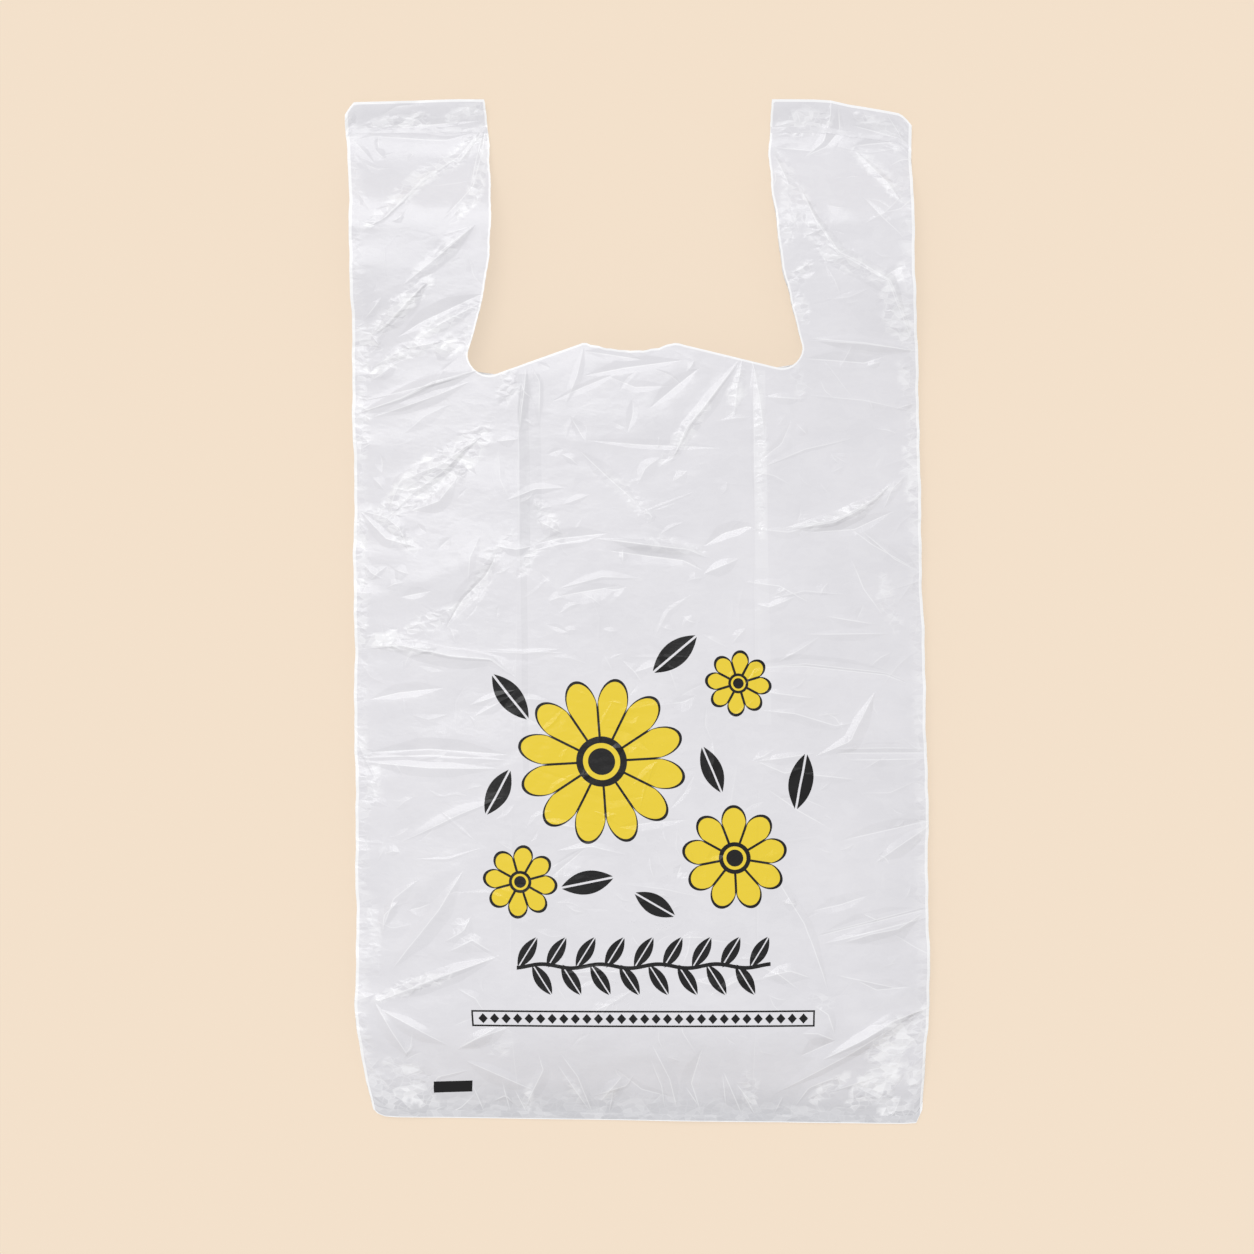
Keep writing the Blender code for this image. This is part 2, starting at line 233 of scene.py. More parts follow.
leftCreases = [
    (0.6, 3.0, (495, 444), (515, 442)),
    (1.3, 5.0, (479, 440), (462, 450), (440, 466), (397, 483), (385, 517)),
    (1.0, 4.5, (455, 480), (437, 503), (410, 512)),
    (1.0, 4.0, (357, 512), (383, 518), (398, 530), (408, 552)),
    (0.8, 3.5, (357, 512), (385, 540), (415, 548)),
    (-1.0, 5.0, (497, 550), (487, 575), (465, 597), (445, 628)),
    (-0.6, 3.0, (430, 592), (400, 598)),
    (0.6, 3.0, (497, 548), (515, 551), (530, 548)),
    (1.2, 5.0, (362, 647), (400, 646), (450, 657), (490, 660), (515, 678)),
    (-0.7, 4.0, (370, 700), (400, 693), (445, 688)),
    (0.6, 3.0, (515, 690), (470, 705)),
    (0.5, 3.0, (512, 695), (475, 716)),
    (-1.2, 5.0, (370, 753), (430, 749), (508, 754)),
    (0.8, 4.0, (360, 762), (430, 768), (500, 768)),
    (-0.7, 3.5, (500, 765), (525, 740)),
    (1.1, 5.0, (405, 840), (460, 812), (500, 797)),
    (1.0, 6.0, (465, 870), (440, 910), (395, 970)),
    (0.7, 4.0, (420, 880), (395, 900), (385, 930)),
    (1.3, 5.0, (382, 1003), (440, 977), (500, 955)),
    (0.6, 3.0, (357, 1004), (380, 995)),
    (0.9, 4.0, (380, 1003), (410, 1060)),
    (0.9, 4.5, (385, 1010), (450, 1045)),
    (0.7, 4.0, (460, 1047), (500, 1025)),
    (0.8, 3.5, (371, 900), (369, 980)),
    (0.6, 3.0, (478, 1116), (470, 1085)),
    (0.6, 3.0, (522, 1116), (512, 1090)),
    (0.5, 3.0, (505, 1116), (500, 1080)),
    (0.8, 5.0, (465, 1060), (530, 1090)),
]
middleCreases = [
    (-0.6, 3.0, (580, 355), (640, 364)),
    (-0.8, 4.0, (580, 380), (620, 372), (680, 364)),
    (-0.9, 4.0, (646, 412), (675, 388), (695, 372)),
    (0.5, 3.0, (684, 374), (690, 366)),
    (1.0, 4.5, (736, 362), (700, 410), (683, 430), (670, 460), (655, 470)),
    (0.7, 3.5, (738, 363), (733, 390), (730, 420)),
    (0.6, 3.5, (748, 364), (755, 400), (760, 440)),
    (-0.5, 2.6, (580, 443), (640, 448), (720, 451)),
    (-0.6, 3.0, (568, 420), (583, 445)),
    (-0.8, 4.0, (575, 452), (605, 480), (637, 508)),
    (0.5, 2.6, (640, 510), (650, 520), (645, 525)),
    (0.9, 4.0, (537, 523), (560, 535)),
    (-0.9, 4.0, (535, 545), (560, 540), (605, 535)),
    (1.2, 4.5, (605, 541), (640, 546), (685, 551), (705, 560)),
    (-1.2, 4.5, (605, 552), (640, 557), (680, 562), (700, 572)),
    (0.7, 3.5, (560, 545), (533, 560)),
    (0.8, 4.0, (700, 575), (735, 560)),
    (-1.0, 4.0, (700, 548), (720, 535), (745, 528), (752, 532)),
    (0.5, 2.6, (620, 550), (620, 565)),
    (0.7, 3.0, (524, 370), (517, 437)),
    (0.5, 2.6, (527, 368), (537, 385), (537, 430)),
    (0.9, 5.0, (722, 1068), (742, 1112)),
    (0.6, 3.5, (755, 1105), (735, 1080)),
]
rightCreases = [
    (0.5, 3.0, (760, 400), (800, 402)),
    (1.5, 5.0, (780, 530), (830, 522), (850, 512), (870, 500), (885, 486)),
    (-0.7, 4.0, (805, 534), (850, 531), (890, 512)),
    (-0.7, 3.0, (855, 530), (890, 560), (920, 575)),
    (0.6, 3.0, (752, 605), (765, 608), (790, 598)),
    (0.6, 3.0, (820, 617), (870, 625)),
    (0.6, 3.0, (800, 635), (885, 634)),
    (-1.2, 5.0, (738, 688), (750, 668), (795, 666), (880, 675), (905, 685)),
    (0.6, 3.5, (755, 691), (810, 698)),
    (0.7, 3.5, (757, 710), (790, 713), (830, 725), (850, 722)),
    (0.9, 4.5, (870, 690), (845, 740), (810, 755)),
    (-1.0, 4.5, (830, 752), (925, 752)),
    (0.6, 3.0, (840, 759), (920, 758)),
    (0.7, 3.0, (752, 760), (775, 757), (810, 752)),
    (0.6, 3.0, (752, 760), (780, 772), (800, 766)),
    (0.6, 3.0, (795, 772), (850, 778)),
    (-0.7, 4.0, (925, 818), (880, 828), (835, 838)),
    (0.9, 4.5, (925, 822), (870, 860)),
    (-1.0, 5.0, (812, 932), (840, 925), (925, 905)),
    (0.7, 4.0, (815, 940), (845, 933), (922, 914)),
    (0.7, 5.0, (750, 840), (775, 880), (800, 920), (825, 990)),
    (0.6, 4.0, (830, 970), (900, 985)),
    (1.6, 6.0, (925, 1003), (890, 1015), (860, 1035), (820, 1055)),
    (1.8, 9.0, (925, 1000), (850, 1046), (770, 1092)),
]
# The tucked edges of the gussets press through: height, the flanks to the left and the right of
# the way that the line runs, and the pixels.
gussetFolds = [
    (0.52, 4.4, 0.9, (521, 366), (516, 437), (516, 500), (517, 565)),
    (0.26, 3.6, 1.4, (516, 580), (514, 700), (513, 780)),
    (0.30, 3.0, 2.4, (512, 800), (511, 900), (512, 1000)),
    (0.30, 3.0, 1.6, (503, 772), (503, 830)),
    (0.28, 3.0, 2.4, (512, 1015), (516, 1108)),
    (-0.50, 5.6, 1.2, (749, 368), (750, 460), (750, 520)),
    (-0.30, 4.4, 1.2, (750, 535), (751, 640), (752, 740)),
    (-0.30, 4.0, 1.4, (753, 770), (754, 880), (753, 1000)),
    (-0.28, 4.0, 1.4, (753, 1015), (752, 1105)),
]
# Broad facets that catch the light and end in a hard edge, given in the same way.
facetFolds = [
    (1.9, 9.0, 1.3, (385, 520), (408, 497), (440, 474), (462, 452), (482, 438)),
    (1.3, 5.0, 1.4, (366, 342), (384, 328), (402, 309), (428, 284)),
    (1.1, 4.5, 1.6, (352, 417), (400, 401), (430, 387), (480, 373)),
    (0.9, 3.6, 1.2, (356, 404), (410, 392), (470, 378)),
    (-1.2, 1.6, 5.0, (444, 630), (462, 600), (484, 578), (500, 549)),
    (1.1, 4.0, 1.4, (466, 198), (474, 160), (484, 126)),
    (0.9, 3.2, 1.2, (362, 234), (384, 222), (420, 184), (456, 160)),
    (1.0, 3.4, 1.6, (655, 470), (672, 456), (686, 428), (702, 408), (738, 362)),
    (1.1, 2.6, 3.6, (590, 540), (640, 546), (690, 552), (712, 562)),
    (1.0, 2.2, 3.2, (535, 552), (560, 545), (600, 538)),
    (1.2, 3.6, 2.0, (780, 532), (830, 524), (852, 513), (872, 500), (888, 484)),
    (1.3, 4.4, 1.8, (358, 650), (400, 646), (450, 656), (492, 660), (518, 680)),
    (1.2, 2.4, 4.6, (355, 759), (430, 755), (510, 760)),
    (1.0, 4.4, 1.8, (400, 844), (460, 814), (504, 796)),
    (1.1, 4.6, 2.2, (380, 1004), (440, 978), (503, 953)),
    (1.2, 2.6, 5.0, (738, 686), (752, 668), (800, 664), (880, 673), (908, 684)),
    (1.0, 2.2, 4.6, (828, 748), (880, 747), (926, 748)),
    (1.0, 2.4, 4.4, (812, 930), (842, 923), (926, 902)),
    (1.5, 6.0, 2.4, (822, 1055), (860, 1035), (892, 1015), (926, 1002)),
    (1.5, 7.0, 3.0, (772, 1092), (850, 1048), (905, 1012)),
    (0.9, 3.6, 1.4, (800, 196), (814, 226), (837, 257), (857, 266), (887, 284), (914, 350)),
    (1.0, 2.4, 3.4, (803, 344), (860, 347), (917, 354)),
    (1.1, 2.2, 4.0, (843, 527), (866, 545), (918, 574)),
    (0.8, 2.0, 3.4, (752, 531), (785, 534), (812, 526)),
    (0.8, 3.4, 1.6, (758, 470), (800, 452), (852, 440)),
    (0.7, 1.8, 3.2, (801, 398), (860, 403), (909, 413)),
    (0.8, 3.2, 1.6, (556, 590), (600, 578), (640, 580)),
    (0.8, 3.2, 1.6, (765, 600), (800, 592), (845, 596)),
    (1.0, 3.4, 1.6, (590, 1096), (625, 1084), (633, 1071)),
    (1.0, 3.0, 1.6, (684, 1084), (699, 1106)),
    (1.0, 3.0, 1.6, (740, 1086), (757, 1115)),
    (0.9, 1.6, 3.0, (721, 1070), (726, 1106)),
    (1.0, 3.6, 1.8, (794, 1107), (809, 1084), (842, 1070)),
    (0.9, 3.0, 1.6, (832, 1088), (880, 1071)),
    (1.0, 2.6, 1.6, (486, 1104), (502, 1096), (512, 1108)),
    (0.9, 1.6, 3.0, (648, 1054), (660, 1084), (664, 1110)),
    (0.9, 2.6, 1.6, (606, 1114), (612, 1088)),
    (0.9, 3.0, 1.6, (420, 1100), (436, 1078), (470, 1070)),
    (0.8, 3.0, 1.6, (775, 1112), (784, 1092)),
    (2.0, 3.0, 7.5, (802, 160), (822, 143), (828, 120), (829, 101)),
]
# Soft creases of the lower half, height and flank as in the lists above.
lowerCreases = [
    (0.9, 5.0, (840, 938), (865, 930), (893, 925), (918, 910)),
    (-0.7, 4.0, (808, 907), (835, 901), (863, 892)),
    (0.6, 3.0, (858, 910), (876, 918)),
    (0.9, 5.0, (827, 973), (847, 964), (865, 959), (897, 957)),
    (1.0, 5.5, (829, 975), (851, 987), (872, 998), (883, 1003)),
    (-0.8, 4.5, (851, 975), (872, 985), (906, 982)),
    (0.8, 4.5, (833, 1005), (854, 998), (865, 994)),
    (-0.7, 4.0, (840, 1008), (865, 1008), (890, 1016)),
    (0.9, 4.5, (772, 907), (790, 935), (808, 962), (820, 991)),
    (0.9, 4.5, (785, 880), (799, 907), (808, 930), (826, 976)),
    (0.9, 5.0, (758, 973), (785, 966), (806, 973)),
    (-0.9, 5.0, (808, 976), (790, 994), (781, 1005)),
    (0.8, 5.0, (799, 1028), (815, 1028), (833, 1035)),
    (0.8, 4.0, (811, 1001), (824, 1009), (831, 1028)),
    (-0.8, 5.0, (799, 1051), (833, 1035)),
    (0.9, 5.0, (454, 891), (429, 923), (411, 939), (392, 975)),
    (0.7, 4.0, (401, 901), (386, 916), (385, 934)),
    (0.8, 4.5, (472, 916), (465, 930), (447, 941)),
    (0.8, 4.5, (451, 951), (474, 939), (494, 951)),
    (-1.0, 5.0, (383, 1010), (429, 996), (476, 987)),
    (1.0, 5.0, (383, 1010), (411, 1028), (458, 1046)),
    (1.0, 4.0, (385, 1012), (399, 1037), (417, 1066), (426, 1075)),
    (1.0, 4.5, (458, 1049), (479, 1037), (511, 1025)),
    (1.0, 5.0, (476, 1059), (490, 1071), (511, 1087), (529, 1110)),
    (0.7, 4.0, (440, 1044), (447, 1073)),
    (0.8, 4.0, (538, 1051), (542, 1069), (520, 1110)),
    (0.9, 4.0, (560, 1051), (576, 1075), (590, 1116)),
    (0.8, 3.0, (556, 1062), (567, 1080), (588, 1114)),
    (0.9, 5.0, (599, 1100), (620, 1075)),
    (0.8, 5.0, (650, 1040), (668, 1076), (676, 1108)),
    (-0.8, 5.0, (700, 1044), (690, 1080), (700, 1110)),
    (0.9, 6.0, (560, 1070), (640, 1050), (700, 1062)),
]
# Broad soft forms: height in millimetres, half width in pixels, and the line.
softForms = [
    (1.5, 26, (372, 600), (480, 560), (560, 600)),
    (-1.2, 24, (420, 720), (520, 700)),
    (1.4, 30, (760, 620), (900, 600)),
    (-1.2, 26, (790, 800), (900, 790)),
    (1.6, 30, (400, 900), (470, 860)),
    (1.2, 28, (560, 420), (700, 420)),
    (-1.0, 24, (760, 460), (900, 440)),
    (1.4, 26, (820, 880), (900, 950)),
    (-0.9, 26, (430, 1020), (560, 1040)),
    (0.9, 18, (390, 180), (450, 260)),
    (0.9, 18, (830, 200), (890, 260)),
]
namedCreases = handleCreases + leftCreases + middleCreases + rightCreases + lowerCreases
# Where the film is finely crumpled: strength, half width in pixels, and the line that it follows.
crumpledBands = [
    (0.8, 5, (369, 126), (390, 122), (426, 125)),
    (0.9, 6, (412, 117), (426, 120)),
    (0.8, 6, (446, 120), (484, 109)),
    (0.9, 7, (484, 128), (450, 163), (418, 181), (364, 231)),
    (0.8, 6, (482, 140), (477, 176), (470, 202), (452, 226)),
    (0.6, 6, (462, 236), (440, 256), (413, 278)),
    (1.0, 8, (428, 284), (406, 302), (385, 322), (368, 338), (374, 352)),
    (0.9, 6, (478, 306), (458, 317), (424, 335), (414, 346)),
    (1.0, 9, (456, 347), (432, 352)),
    (0.9, 6, (432, 348), (400, 357), (368, 378)),
    (0.9, 6, (359, 330), (360, 388)),
    (0.7, 6, (463, 330), (465, 356)),
    (0.9, 9, (508, 376), (503, 402)),
    (1.0, 7, (359, 395), (360, 458)),
    (1.0, 15, (483, 435), (452, 462), (420, 485), (396, 505), (381, 520)),
    (0.8, 7, (366, 512), (388, 521), (402, 542), (416, 551)),
    (0.7, 7, (511, 538), (490, 558), (478, 584), (462, 606)),
    (0.8, 7, (462, 606), (440, 618), (408, 630)),
    (0.9, 7, (359, 520), (361, 640)),
    (0.9, 7, (358, 643), (390, 640), (430, 652)),
    (0.7, 9, (362, 740), (372, 790), (366, 815)),
    (0.6, 6, (362, 815), (364, 880)),
    (0.5, 5, (358, 894), (372, 900), (376, 926), (381, 976)),
    (1.0, 6, (382, 1000), (415, 986), (450, 975)),
    (0.7, 6, (362, 1005), (366, 1060)),
    (0.8, 15, (372, 1082), (394, 1110)),
    (0.9, 11, (403, 1086), (427, 1104)),
    (0.7, 9, (388, 1065), (424, 1078)),
    (0.6, 7, (493, 1052), (511, 1042)),
    (0.8, 5, (526, 1088), (523, 1110)),
    (0.6, 4, (565, 1078), (578, 1100)),
    (0.7, 6, (599, 1105), (612, 1090)),
    (0.7, 6, (533, 505), (554, 531)),
    (0.6, 6, (533, 548), (562, 537)),
    (0.6, 5, (519, 574), (533, 553)),
    (0.5, 6, (640, 544), (700, 552)),
    (0.8, 6, (737, 372), (728, 414)),
    (0.8, 7, (704, 404), (680, 438), (660, 464)),
    (0.8, 12, (780, 127), (824, 120)),
    (0.7, 7, (855, 111), (880, 118), (906, 128)),
    (0.8, 6, (886, 142), (906, 134)),
    (0.6, 7, (853, 148), (872, 166), (886, 184), (904, 208)),
    (0.6, 7, (774, 158), (788, 190)),
    (0.6, 8, (782, 198), (787, 228), (781, 248)),
    (0.8, 7, (785, 288), (808, 271)),
    (0.8, 7, (792, 297), (802, 324)),
    (0.65, 9, (794, 192), (812, 234), (827, 258), (854, 270), (884, 285)),
    (0.6, 7, (890, 284), (914, 266)),
    (0.8, 11, (884, 295), (894, 322), (914, 351)),
    (0.6, 7, (896, 368), (914, 404)),
    (0.8, 8, (912, 418), (908, 470), (915, 524)),
    (0.5, 5, (790, 370), (798, 402)),
    (0.6, 5, (753, 376), (756, 450), (757, 540)),
    (0.7, 4, (800, 531), (839, 516), (866, 504), (896, 483)),
    (1.0, 13, (930, 1008), (901, 1028), (872, 1050)),
    (1.0, 14, (896, 1060), (876, 1080), (856, 1100)),
    (0.8, 7, (846, 1072), (812, 1098)),
    (0.8, 7, (916, 1040), (914, 1088)),
    (1.0, 10, (882, 1094), (900, 1108), (918, 1116)),
    (0.7, 6, (744, 1068), (756, 1106)),
    (0.6, 6, (808, 992), (828, 1000)),
    (0.6, 7, (880, 578), (882, 606), (893, 630)),
    (0.5, 5, (752, 430), (760, 462)),
    (0.5, 6, (590, 470), (622, 492), (648, 520)),
    (0.32, 9, (425, 1106), (560, 1104), (700, 1106), (850, 1110)),
]
crumple = {
    "seed": 11,
    "named": 0.32,  # share of a named crease's height that the mesh has
    "soft": 0.45,  # the same of the soft forms
    "everywhere": 330,  # creases strewn over the whole panel
    "everywhereFrom": 0.005,
    "everywhereHeight": (0.03, 0.12),  # millimetres
    "everywhereLength": (9, 46),
    "everywhereFlank": (2.6, 6.5),
    "perStretch": 3,
    "bandHeight": (0.06, 0.20),
    "bandLength": (4, 12),
    "bandFlank": (2.2, 3.4),
    "broad": 26,
    "broadHeight": (0.12, 0.36),
    "broadLength": (50, 130),
    "broadFlank": (9, 20),
    "edgeFade": 0.0035,
    "namedPower": 1.3,  # how fast a crease falls off from its crest
    "strewnPower": 1.4,
    "softPower": 2.0,
    "softReach": 2,
    "endRun": 0.22,  # share of a crease's length over which its ends die away
    "endHeight": 0.25,
    "bend": 0.35,
    "levelShare": 0.7,  # share of the strewn creases that run nearly across the bag
    "levelTilt": 0.7,
    "broadTilt": 0.6,
    "broadMargin": 0.03,
    "bandJitter": 0.6,
    "plainShare": 0.10,  # how crumpled the film is outside of the bands
    "bandWidth": (0.55, 0.65),  # share of the half width at a band's ends, and what is added midway
    "bandReach": 1.25,
    "bandFade": 0.45,
    "ragged": 0.28,
    "raggedTurns": (640, 570),
    "sideShare": 0.45,
    "sideRun": (0.010, 0.003),
    "weldShare": 0.35,
}


def alongLine(x, y, points):
    # distance to a line through the points, how far along it the nearest place lies, and the
    # side: -1 to the left of the way that the line runs, and 1 to the right
    runs = [math.dist(a, b) for a, b in zip(points, points[1:])]
    total = sum(runs)
    nearest = np.full(x.shape, 1e9)
    share = np.zeros(x.shape)
    side = np.ones(x.shape)
    passed = 0.0
    for (x1, y1), (x2, y2), run in zip(points, points[1:], runs):
        t = np.clip(((x - x1) * (x2 - x1) + (y - y1) * (y2 - y1)) / run**2, 0.0, 1.0)
        off = np.hypot(x - x1 - t * (x2 - x1), y - y1 - t * (y2 - y1))
        closer = off < nearest
        nearest = np.where(closer, off, nearest)
        share = np.where(closer, (passed + t * run) / total, share)
        right = (x - x1) * (y2 - y1) - (y - y1) * (x2 - x1)
        side = np.where(closer, np.where(right < 0, -1, 1), side)
        passed += run
    return nearest, share, side


def addCrease(height, x, y, rise, flank, points, power):
    low = np.min(points, axis=0) - flank
    high = np.max(points, axis=0) + flank
    near = (x > low[0]) & (x < high[0]) & (y > low[1]) & (y < high[1])
    if not near.any():
        return
    off, share, _ = alongLine(x[near], y[near], points)
    taper = np.clip(np.minimum(share, 1 - share) / crumple["endRun"], crumple["endHeight"], 1.0)
    wide = flank * (0.5 + 0.5 * taper)
    height[near] += rise * taper * np.clip(1 - off / wide, 0, 1) ** power


def strewnCreases(draw):
    # (rise, flank, two or three points), in metres on the flat bag
    strewn = []

    def crease(x, y, heights, lengths, flanks, tilt):
        run = draw.uniform(*lengths) / 1000
        bend = draw.uniform(-crumple["bend"], crumple["bend"])
        rise = draw.uniform(*heights) / 1000 * draw.choice((1, 1, -1))
        strewn.append((rise, draw.uniform(*flanks) / 1000, bentLine(x, y, run, tilt, bend)))

    for _ in range(crumple["everywhere"]):
        x = draw.uniform(-bag["halfWidth"], bag["halfWidth"])
        y = draw.uniform(crumple["everywhereFrom"], bag["length"])
        nearlyLevel = draw.random() < crumple["levelShare"]
        tilt = draw.gauss(0.0, crumple["levelTilt"]) if nearlyLevel else draw.uniform(0, math.pi)
        crease(x, y, crumple["everywhereHeight"], crumple["everywhereLength"],
               crumple["everywhereFlank"], tilt)
    for _ in range(crumple["broad"]):
        x = draw.uniform(-bag["halfWidth"], bag["halfWidth"])
        y = draw.uniform(crumple["broadMargin"], bag["length"] - crumple["broadMargin"])
        crease(x, y, crumple["broadHeight"], crumple["broadLength"], crumple["broadFlank"],
               draw.gauss(0.0, crumple["broadTilt"]))
    jitter = crumple["bandJitter"]
    for strength, half, *pixels in crumpledBands:
        heights = [h * strength for h in crumple["bandHeight"]]
        for (px1, py1), (px2, py2) in zip(pixels, pixels[1:]):
            for _ in range(crumple["perStretch"]):
                share = draw.random()
                x, y = fromPicture(px1 + share * (px2 - px1) + draw.uniform(-jitter, jitter) * half,
                                   py1 + share * (py2 - py1) + draw.uniform(-jitter, jitter) * half)
                crease(x, y, heights, crumple["bandLength"], crumple["bandFlank"],
                       draw.uniform(0, math.pi))
    return strewn


def creaseField(x, along):
    # what the creases add to the front panel, at points of the flat bag
    height = np.zeros(x.shape)
    for rise, flank, *pixels in namedCreases:
        points = traced(pixels)
        rise = rise * crumple["named"] / 1000
        addCrease(height, x, along, rise, flank / 1000, points, crumple["namedPower"])
    for rise, flank, points in strewnCreases(random.Random(crumple["seed"])):
        addCrease(height, x, along, rise, flank, points, crumple["strewnPower"])
    for rise, flank, *pixels in softForms:
        points = traced(pixels)
        rise = rise * crumple["soft"] / 1000
        flank = flank * picture["scale"] * crumple["softReach"]
        addCrease(height, x, along, rise, flank, points, crumple["softPower"])
    return height


# Sharp folds are finer than the grid. Round each one the film carries the distance to its line,
# its height and its two flanks, and the material folds the film there. Folds that lie close
# together go into different layers.
folds = {
    "layers": 6,
    "cell": 0.0030,
    "zone": 0.0058,
    "namedSlope": 0.18,
    "facetShare": 0.32,
    "steepest": 0.32,  # a narrow flank isn't narrower than this share of the other one
    "namedFlank": 0.8,  # share of a named crease's flank
    "shaded": 1.5,  # how much wider the flank that faces away from the light is
    "seed": 29,
    "strewn": 1150,
    "strewnFrom": 0.004,
    "length": (7, 42),
    "flank": (0.9, 3.8),
    "slope": (0.04, 0.125),
    "taper": 0.35,
    "namedHeight": (0.5, 0.6, 1.4),  # at no rise, what a millimetre of rise adds, and the most
    "levelShare": 0.7,
    "levelTilt": (0.1, 0.75),
    "steepTilt": 1.5,
    "bend": 0.3,
    "rightFlank": (0.5, 1.8),  # times the left one
}


def foldList(draw):
    # (height, left flank, right flank, points); every line runs towards +x, so left is up
    made = []
    for height, left, right, *pixels in gussetFolds + facetFolds:
        points = traced(pixels)
        wide = max(left, right) * folds["steepest"]
        height = height * folds["facetShare"]
        made.append((height / 1000, max(left, wide) / 1000, max(right, wide) / 1000, points))
    for rise, flank, *pixels in namedCreases:
        points = traced(pixels)
        if points[-1][0] < points[0][0]:
            points.reverse()
        wide = flank * folds["namedFlank"] / 1000
        least, more, most = folds["namedHeight"]
        height = folds["namedSlope"] * wide * min(most, least + abs(rise) * more)
        if rise > 0:
            made.append((height, wide, wide * folds["shaded"], points))
        else:
            made.append((-height, wide * folds["shaded"], wide, points))
    shortest, longest = folds["length"]
    steep = folds["steepTilt"]
    for _ in range(folds["strewn"]):
        x = draw.uniform(-bag["halfWidth"], bag["halfWidth"])
        y = draw.uniform(folds["strewnFrom"], bag["length"])
        nearlyLevel = draw.random() < folds["levelShare"]
        tilt = draw.gauss(*folds["levelTilt"]) if nearlyLevel else draw.uniform(-steep, steep)
        run = (shortest + (longest - shortest) * draw.random() ** 2) / 1000
        bend = draw.uniform(-folds["bend"], folds["bend"])
        left = draw.uniform(*folds["flank"]) / 1000
        right = left * draw.uniform(*folds["rightFlank"])
        height = min(left, right) * draw.uniform(*folds["slope"]) * draw.choice((1, 1, -1))
        made.append((height, left, right, bentLine(x, y, run, tilt, bend)))
    return made


def foldLayers(x, along, onFront):
    layers = [np.zeros((x.size, 4)) for _ in range(folds["layers"])]
    taken = [np.zeros(x.size, bool) for _ in layers]
    placed = 0
    for height, left, right, points in foldList(random.Random(folds["seed"])):
        reach = max(left, right)
        low = np.min(points, axis=0) - reach - folds["zone"]
        high = np.max(points, axis=0) + reach + folds["zone"]
        near = onFront & (x > low[0]) & (x < high[0]) & (along > low[1]) & (along < high[1])
        near = np.flatnonzero(near)
        if not near.size:
            continue
        off, share, side = alongLine(x[near], along[near], points)
        zone = off < reach + folds["zone"]
        ids = near[zone]
        taper = np.clip(np.minimum(share, 1 - share)[zone] / folds["taper"], 0, 1)
        live = off[zone] < reach + folds["cell"]
        for layer, used in zip(layers, taken):
            if used[ids].any():
                continue
            layer[ids, 0] = (off * side)[zone]
            layer[ids, 1] = height * taper * live
            layer[ids, 2] = left * taper
            layer[ids, 3] = right * taper
            used[ids] = True
            placed += 1
            break
    print("stage: sharp folds placed,", placed)
    return layers


def crumpleShare(x, along):
    share = np.full(x.shape, crumple["plainShare"])
    atEnds, midway = crumple["bandWidth"]
    across, up = crumple["raggedTurns"]
    for strength, half, *pixels in crumpledBands:
        off, run, _ = alongLine(x, along, traced(pixels))
        width = half * picture["scale"] * (atEnds + midway * np.sin(run * math.pi))
        ragged = crumple["ragged"] * np.sin(x * across + half) * np.sin(along * up + 3 * half)
        inside = ease(crumple["bandReach"] - off / width + ragged, 0.0, crumple["bandFade"])
        share = np.maximum(share, strength * inside)
    outer, inner = [bag["halfWidth"] - run for run in crumple["sideRun"]]
    return np.maximum(share, crumple["sideShare"] * ease(np.abs(x), outer, inner))


def freeShare(along):
    steep = np.sin(np.clip((along - bag["bottomWeld"]) / bag["loftRun"], 0, 1) * math.pi / 2)
    fromBottom = (ease(along, bag["bottomWeld"], bag["bottomWeld"] + bag["loftRun"]) + steep) / 2
    return fromBottom * ease(topWeldStart - along, 0, bag["loftRun"])


def handleShare(along):
    return ease(along, mouthLevel, mouthLevel + bag["loftRun"])


def sideWave(side, along):
    # a side fold never runs quite level
    return waves(along, bag["sideWaves"], pick(bag["sidePhase"], side))


def levelHeight(along):
    loft = bag["sideLoft"] + (bag["handleLoft"] - bag["sideLoft"]) * handleShare(along)
    skirt = bag["skirtLoft"] * ease(along, topWeldEnd, bag["length"])
    return weldHeight + loft * freeShare(along) + skirt


def sideRise(side, along):
    return bag["sideWave"] * sideWave(side, along) * freeShare(along)


def halfWidthAt(side, along):
    draw = pick(bag["draw"], side) * (1 - ease(along, -bag["drawRun"] / 2, bag["drawRun"]))
    stretch, shift = bag["rippleTurns"]
    ripple = bag["sideRipple"] * sideWave(side, along * stretch + shift) * freeShare(along)
    spread = pick({s: measured("sideSpread", s, along) for s in (-1, 1)}, side)
    return bag["halfWidth"] - draw + spread + ripple


def plan(x, along):
    low = 1 - ease(along, 0, bag["length"] / 2)
    rise = -bag["bottomSkew"] * x / (2 * bag["halfWidth"]) * low
    lean = bag["topLean"] * ease(along, bag["length"] - bag["topLeanRun"], bag["length"]) * (x < 0)
    for side in (-1, 1):
        inwards = np.maximum(0, halfWidthAt(side, along) - side * x)
        atBottom = 1 - ease(along, 0, bag["cornerRun"])
        rise = rise + atBottom * measured("corners", side, inwards)
        high = ease(along, bag["length"] - bag["shoulderRun"][side], bag["length"])
        rise = rise - high * measured("shoulders", side, inwards)
    return x - lean - bag["centreDrift"] * along / bag["length"], along + rise


